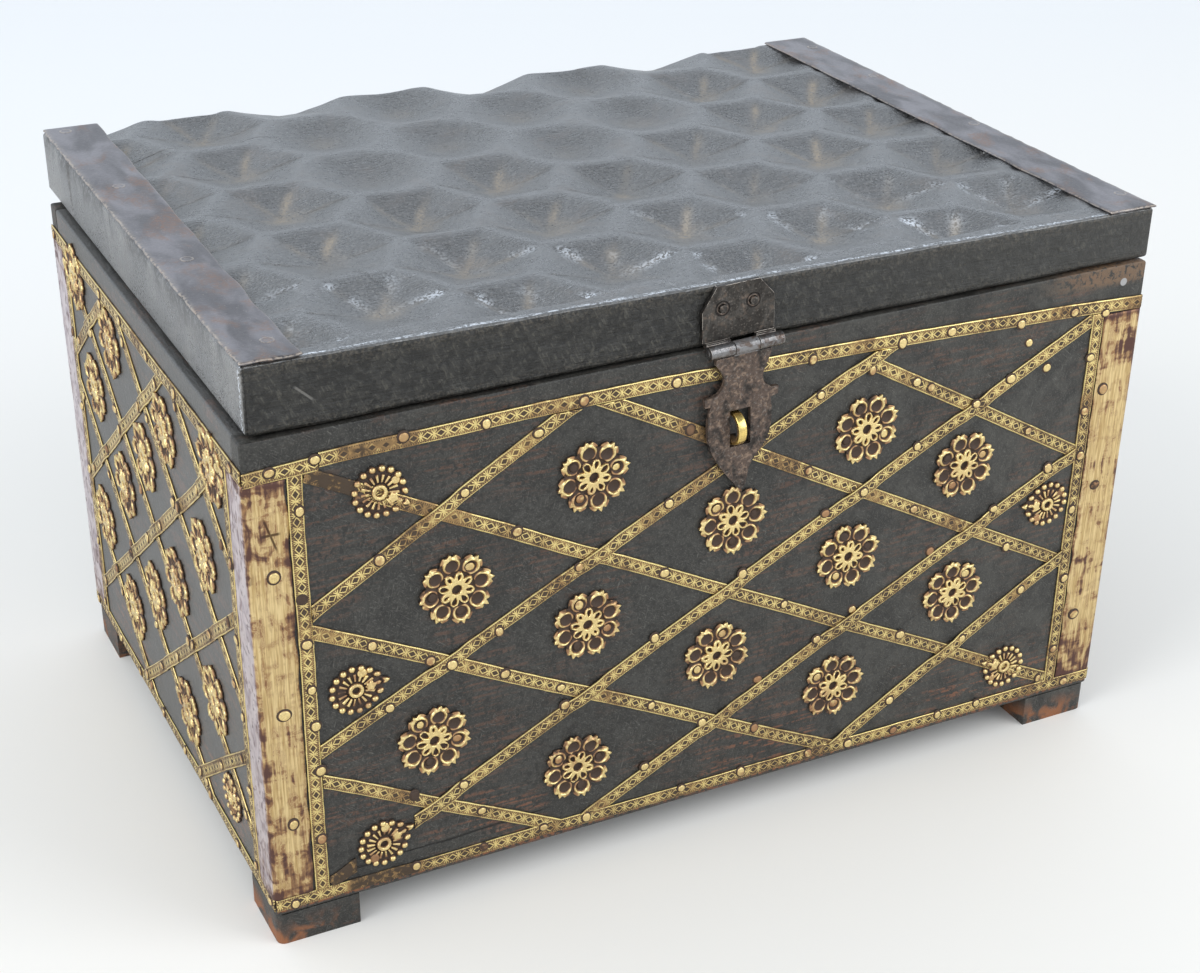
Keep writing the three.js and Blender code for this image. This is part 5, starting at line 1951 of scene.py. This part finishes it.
@dataclass(frozen=True)
class Staple:
    """The flat brass loop in the front board, bent from one strip."""

    thick: float = 1.4
    corner: float = 0.35

    def surface(self) -> Surface:
        """Works out the loop: a rounded section carried up one leg, round the bend and back along the other.

        On the bend the middle of the section is at y = b - r cos(a) and z = m + r sin(a), with a from -90
        to 90 degrees.

        Returns:
            The closed surface.
        """
        low, high = CASE.box("staple")
        outer = (high[2] - low[2]) / 2
        radius = outer - self.thick / 2
        bend, middle = low[1] + outer, (low[2] + high[2]) / 2
        a = np.radians(np.linspace(-90, 90, 33))
        leg = np.linspace(high[1], bend, 6)[:-1]
        y = np.concatenate([leg, bend - radius * np.cos(a), leg[::-1]])
        z = middle + np.concatenate([np.full(5, -radius), radius * np.sin(a), np.full(5, radius)])
        out = np.concatenate([np.full(5, -math.pi / 2), a, np.full(5, math.pi / 2)])
        turn = np.radians([5, 25, 45, 65, 85])
        arc = np.stack([np.cos(turn), np.sin(turn)], -1) * self.corner
        wide, half = (high[0] - low[0]) / 2 - self.corner, self.thick / 2 - self.corner
        ring = np.concatenate([
            arc + [wide, half], arc[::-1] * [-1, 1] + [-wide, half], arc * -1 + [-wide, -half],
            arc[::-1] * [1, -1] + [wide, -half],
        ])
        across, off = ring[:, 0], ring[:, 1]
        x = (low[0] + high[0]) / 2 + across[None, :] + 0 * y[:, None]
        ys = y[:, None] - np.cos(out)[:, None] * off
        zs = z[:, None] + np.sin(out)[:, None] * off
        # Painted shade: the inner side of the loop and the legs where they go into the board are coloured
        # darker.
        inside = smooth(0.1, -0.1, off)[None, :] * 0.5 + 0 * x
        darkening = np.maximum(inside, smooth(bend + 0.5, bend + 2.5, ys) * 0.75)
        return tube(np.stack([x, ys, zs], -1), {"recess": np.clip(darkening, 0, 1)})


@dataclass(frozen=True)
class Viewpoint:
    """The camera, fitted to the box's edges.

    Attributes:
        azimuth: degrees round the box, from the front, to the right.
        elevation: degrees above the table.
        roll: degrees that the camera is tilted.
        distance: from the target, in millimetres.
        target: the point it looks at, about the middle of the case.
        focal: focal length in pixels of the picture.
        centre: the pixel that the lens points at.
        picture: width and height of the picture in pixels.
    """

    azimuth: float = -28.39
    elevation: float = 29.12
    roll: float = 1.53
    distance: float = 679.1
    target: Triple = (-2.8, -60.0, 77.4)
    focal: float = 2071.35
    centre: Pair = (654.94, 556.68)
    picture: tuple[int, int] = (1200, 973)

    SENSOR = 36.0

    def build(self) -> None:
        """Sets up the scene's camera."""
        around, up = math.radians(self.azimuth), math.radians(self.elevation)
        back = Vector((math.sin(around) * math.cos(up), -math.cos(around) * math.cos(up), math.sin(up)))
        right = (-back).cross(Vector((0, 0, 1))).normalized()
        above = right.cross(-back)
        roll = math.radians(self.roll)
        level, upright = right, above
        right = math.cos(roll) * level + math.sin(roll) * upright
        above = math.cos(roll) * upright - math.sin(roll) * level
        place = Vector(CASE.to_frame(np.array(self.target))) + back * self.distance * MILLIMETRE
        lens = bpy.data.cameras.new("camera")
        lens.sensor_width = self.SENSOR
        lens.lens = self.SENSOR * self.focal / self.picture[0]
        lens.shift_x = (self.picture[0] / 2 - self.centre[0]) / self.picture[0]
        lens.shift_y = (self.centre[1] - self.picture[1] / 2) / self.picture[0]
        lens.clip_start = 0.01
        camera = bpy.data.objects.new("camera", lens)
        turn = Matrix((right, above, back)).transposed().to_4x4()
        camera.matrix_world = Matrix.Translation(place) @ turn
        bpy.context.scene.collection.objects.link(camera)
        bpy.context.scene.camera = camera


@dataclass(frozen=True)
class Studio:
    """A pale floor and soft lamps, under a sky bright round the horizon and dim to the upper right."""

    haze: Colour = (0.775, 0.835, 0.915)
    horizon: Colour = (1.16, 1.27, 1.40)
    overhead_left: Colour = (0.80, 0.84, 0.88)
    overhead_right: Colour = (0.32, 0.34, 0.37)
    floor: Colour = (0.86, 0.835, 0.790)
    far_floor: Colour = (0.865, 0.865, 0.860)
    reach: float = 60.0

    def lamp(self, name: str, place: Numbers, aim: Numbers, size: float, power: float) -> None:
        """Hangs one square soft lamp.

        Args:
            name: its name.
            place: where it hangs, in metres.
            aim: where it points, in metres.
            size: its side, in metres.
            power: its power in watts.
        """
        light = bpy.data.lights.new(name, "AREA")
        light.shape = "SQUARE"
        light.size = size
        light.energy = power
        made = bpy.data.objects.new(name, light)
        made.location = place
        made.rotation_euler = (Vector(aim) - Vector(place)).to_track_quat("-Z", "Y").to_euler()
        bpy.context.scene.collection.objects.link(made)

    def build(self) -> None:
        """Makes the floor, the sky and the lamps."""
        mesh = bpy.data.meshes.new("floor")
        corners = [(x * self.reach, y * self.reach, 0) for x, y in ((-1, -1), (1, -1), (1, 1), (-1, 1))]
        mesh.from_pydata(corners, [], [(0, 1, 2, 3)])
        floor = bpy.data.objects.new("floor", mesh)
        bpy.context.scene.collection.objects.link(floor)
        paint = Paint("floor_pale")
        shade = paint.mix(paint.axis("Y").ramp(100.0, 900.0), self.floor, self.far_floor)
        mesh.materials.append(paint.finish(Base_Color=shade, Roughness=0.6, Specular_IOR_Level=0.3))
        world = bpy.data.worlds.new("sky")
        world.use_nodes = True
        nodes = Nodes(world.node_tree)
        where = nodes.node("ShaderNodeTexCoord", output="Generated")
        right, up = (nodes.node("ShaderNodeSeparateXYZ", {}, {0: where}, letter) for letter in "XZ")
        overhead = nodes.mix(right.ramp(-0.40, 0.50), self.overhead_left, self.overhead_right)
        background = world.node_tree.nodes["Background"]
        low = nodes.mix(up.ramp(0.03, 0.24), self.haze, self.horizon)
        nodes.feed(background.inputs["Color"], nodes.mix(up.ramp(0.50, 0.84), low, overhead))
        bpy.context.scene.world = world
        self.lamp("lamp_left", (-1.8, -0.45, 1.3), (0.0, 0.0, 0.1), 1.2, 19.0)
        self.lamp("lamp_front", (0.95, -1.05, 0.95), (0.0, 0.0, 0.08), 1.0, 8.5)
        bpy.context.scene.view_settings.view_transform = "Standard"


FRONT_NAILS = (
    (-143.0, 157.8), (-130.2, 159.1), (-104.8, 160.7, 0.3), (-80.3, 159.8), (-50.2, 160.9), (-20.4, 160.9),
    (25.7, 159.7), (57.7, 159.3), (75.8, 159.9), (102.4, 157.8), (123.3, 158.2), (136.0, 155.8),
    (-144.7, 14.4), (-106.1, 15.5), (-83.7, 15.3, 0.42), (-63.3, 16.3), (-48.4, 15.5), (-14.2, 16.1),
    (7.9, 15.9), (33.8, 15.5), (49.6, 14.7), (67.8, 14.8, 0.42), (85.8, 15.9), (102.0, 16.1), (139.9, 14.7),
    (-135.3, 144.6), (-136.3, 117.3, 0.6), (-135.8, 102.6), (-135.3, 87.4), (-134.8, 75.0), (-134.2, 59.3),
    (-135.3, 35.3), (132.2, 140.9), (132.8, 121.6), (133.5, 105.3), (133.0, 85.1), (133.9, 58.2),
    (133.3, 29.9), (-71.3, 123.7), (-116.7, 97.2), (-99.2, 87.5), (-75.7, 76.6), (-57.4, 66.8),
    (-105.8, 41.8, 0.7), (-84.1, 29.3), (-15.4, 144.8, 0.6), (26.7, 122.4), (-22.7, 98.2), (20.8, 76.3),
    (-26.0, 51.3), (12.3, 31.8, 0.42), (47.5, 152.2), (64.3, 145.1), (69.9, 142.2), (110.3, 119.1),
    (67.7, 99.9), (107.0, 76.8), (67.0, 53.0), (128.0, 19.3), (-113.3, 124.3), (-87.2, 139.8),
    (-64.4, 153.7), (-112.3, 74.9), (-92.7, 84.7), (-77.4, 91.8), (-51.5, 107.3), (-89.8, 40.8),
    (-55.9, 59.9), (29.3, 147.4), (-21.8, 121.8), (34.0, 105.9, 0.42), (47.5, 110.7), (4.8, 91.3),
    (-25.4, 75.9), (34.0, 59.9), (47.3, 67.3), (12.8, 50.1, 0.42), (-7.5, 39.7), (-27.9, 28.7),
    (87.8, 133.3), (100.9, 139.3), (66.8, 122.4), (120.5, 103.4), (99.9, 92.8), (76.2, 82.2, 0.42),
    (115.5, 58.2), (92.7, 44.8), (65.1, 27.6), (106.8, 150.5), (115.2, 140.3),
)


def front_strapping() -> Strapping:
    """Returns the front's brass, with ornaments and nails where they were read off one by one."""
    return Strapping(
        face=Face.FRONT,
        rising=((-174.0, 0.594), (-88.1, 0.498), (3.0, 0.515), (95.0, 0.505), (166.0, 0.591)),
        falling=((-195.9, 0.528), (-98.7, 0.513), (-3.6, 0.516), (89.6, 0.539), (165.0, 0.566)),
        rosettes=(
            (-47.1, 136.2, 12), (-90.6, 109.5, 9.8), (-48.7, 87.0, 20), (0.3, 111.3, 3), (-3.3, 63.9, 30),
            (43.5, 88.5, 15), (41.5, 40.3, 8), (46.8, 132.6, 22), (85.6, 112.0, 17), (86.3, 64.6, 5),
            (-99.0, 59.8, 33), (-51.7, 36.1, 11),
        ),
        drops=(
            (-112.5, 145.6, -31), (-122.3, 83.9, 7), (-116.2, 27.5, 22), (121.9, 89.7, 174),
            (112.1, 28.5, 158),
        ),
        nails=FRONT_NAILS,
        breaks={
            "rising_3": (-125.0, -106.0),
            "falling_5": (-200.0, 47.0),
            "top_band_front": (-129.3, -129.0),
        },
        stains={
            "falling_3": ((-126.0, 9.0, 0.75), (-95.0, 14.0, 0.42)),
            "top_band": ((-112.0, 16.0, 0.50), (-60.0, 10.0, 0.36)),
            "low_band": ((-116.0, 15.0, 0.80),),
            "rising_3": ((-132.0, 12.0, 0.85),),
            "falling_4": ((-10.0, 12.0, 0.5),),
            "rising_2": ((-20.0, 16.0, 0.34),),
        },
        peak=-20.0,
        seed=1,
    )


def side_strapping(face: Face) -> Strapping:
    """Returns the brass of the left or right side, which mirror each other."""
    slope = 0.73
    places = ((-133.0, -70.8, -7.2, 58.2, 122.0), (-126.0, -62.0, 4.6, 66.0, 131.0))
    flowers = (
        (74.5, 150.7), (33.3, 143.2), (62.0, 116.0), (-25.8, 138.4), (2.2, 116.9),
        (33.4, 92.5), (69.2, 63.3), (-75.1, 148.6), (-58.6, 112.4), (-24.0, 85.5),
        (6.1, 64.9), (39.4, 42.7), (-22.4, 36.8), (-56.6, 61.1),
    )
    sign = -1 if face is Face.LEFT else 1
    to_back, to_front = (tuple((sign * y, slope) for y in row) for row in places)
    rising, falling = (to_front, to_back) if face is Face.LEFT else (to_back, to_front)
    return Strapping(
        face=face,
        rising=rising,
        falling=falling,
        rosettes=tuple((sign * y, v, 11.0 * i % 45) for i, (y, v) in enumerate(flowers)),
        drops=((-sign * 66.0, 31.2, 90 + 60 * sign),),
        fine=1.0,
        seed=2 if face is Face.LEFT else 3,
    )


def main() -> None:
    """Builds every sub-assembly in order."""
    logging.basicConfig(level=logging.INFO, format="%(message)s")
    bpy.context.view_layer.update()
    Viewpoint().build()
    Studio().build()

    low, high = CASE.box("left_board")
    reach = (CASE.half_width, CASE.half_depth)
    at, y = float(CASE.middle[0]), float(CASE.middle[1])
    shared = {"middle": (CASE.middle[0], CASE.middle[1]), "reach": reach, "wall": high[0] - low[0]}
    along_x = DarkWood("case_wood_along_x", (7.0, 0.5, 0.5), **shared)
    along_y = replace(along_x, name="case_wood_along_y", grain=(0.5, 7.0, 0.5), gloss=1.0, density=1.65)
    crack, plug = (at - 134.0, 20.6, at - 58.0, 22.8), (at + 142.3, 165.2)
    lengthwise, crosswise = along_x.material(), along_y.material()
    front_wood = replace(along_x, name="case_wood_front", crack=crack, plug=plug).material()
    feet = tuple(f"foot_{corner}" for corner in ("front_left", "front_right", "back_right", "back_left"))
    CarriedNodes(("front_board",), "case_wood", 0.7, 3).dress(front_wood)
    CarriedNodes(("back_board",), "case_wood", 0.7, 3).dress(lengthwise)
    CarriedNodes(("left_board", "right_board"), "case_wood", 0.7, 3).dress(crosswise)
    CarriedNodes(("floor_board",), "inside_wood", 0.3).dress(lengthwise)
    CarriedNodes(feet, "case_wood", 1.2, 3).dress(lengthwise)

    strip_brass = PatternedBrass("strip_brass_stamped").material()
    relief_brass = StampedBrass(
        "ornament_brass", bright=(0.80, 0.625, 0.29), copper=(0.42, 0.235, 0.12),
        deep=(0.060, 0.036, 0.024), stain=0.6,
    ).material()
    for strapping in (front_strapping(), side_strapping(Face.LEFT), side_strapping(Face.RIGHT)):
        strapping.build(strip_brass, relief_brass)
    sheet_brass = PlateBrass(cross=(at - 143.9, 139.2)).material()
    CornerPlates().build(sheet_brass, relief_brass)

    lid_low = CASE.box("lid_main_plank")[0] + CASE.middle
    cracks = ((at - 63.9, y - 11.8, at - 58.7, y - 25.7), (at - 96.9, y - 46.0, at - 91.9, y - 63.3))
    scratch = (at - 134.0, 180.5, at - 128.8, 175.6)
    lid_wood = LidWood(end=lid_low[0], front=lid_low[1], cracks=cracks, scratch=scratch)
    lid_face = replace(lid_wood, name="lid_wood_front", gloss=0.35, density=1.5)
    Lid().build((lid_wood.material(), lid_face.material(), lengthwise), OldSheet().material())

    pin = CASE.middle + sum(CASE.box("hasp_pin")) / 2
    rivets = [CASE.middle + sum(CASE.box(f"hasp_rivet_{number}")) / 2 for number in (1, 2)]
    rings = tuple((float(rivet[0]), float(rivet[2])) for rivet in rivets)
    barrel = tuple(float(value) for value in pin)
    leaf_iron = Iron("hasp_leaf_iron", amount=0.85, barrel=barrel).material()
    plate_iron = Iron("hasp_plate_iron", amount=0.25, polish=0.44, barrel=barrel, rings=rings).material()
    leaf_edge = RubbedEdge("leaf_edge", bright=(0.60, 0.55, 0.49), share=0.95).material()
    CarriedNodes(("hasp_leaf",), "hasp_iron", 0.42).dress(leaf_iron, leaf_edge)
    plate_edge = RubbedEdge("plate_edge", share=0.8).material()
    CarriedNodes(("hasp_plate",), "hasp_iron", 0.22).dress(plate_iron, plate_edge)
    CarriedNodes(("hasp_pin", "hasp_rivet_1", "hasp_rivet_2"), "hasp_iron", 0.22).dress(plate_iron)
    parts = ("case_leaf", "lid_leaf", "pin")
    hinges = tuple(f"hinge_{side}_{part}" for side in ("left", "right") for part in parts)
    CarriedNodes(hinges, "hinge_iron", 0.2).dress(Iron("hinge_iron_dark", amount=0.4).material())
    staple_brass = StampedBrass("staple_brass_bright", bright=(0.80, 0.60, 0.20), stain=0.3, polish=0.26)
    staple = Piece("staple_bent", Body.BOX, "staple_brass", ("staple",))
    staple.make(Staple().surface(), staple_brass.material())


if __name__ == "__main__":
    main()
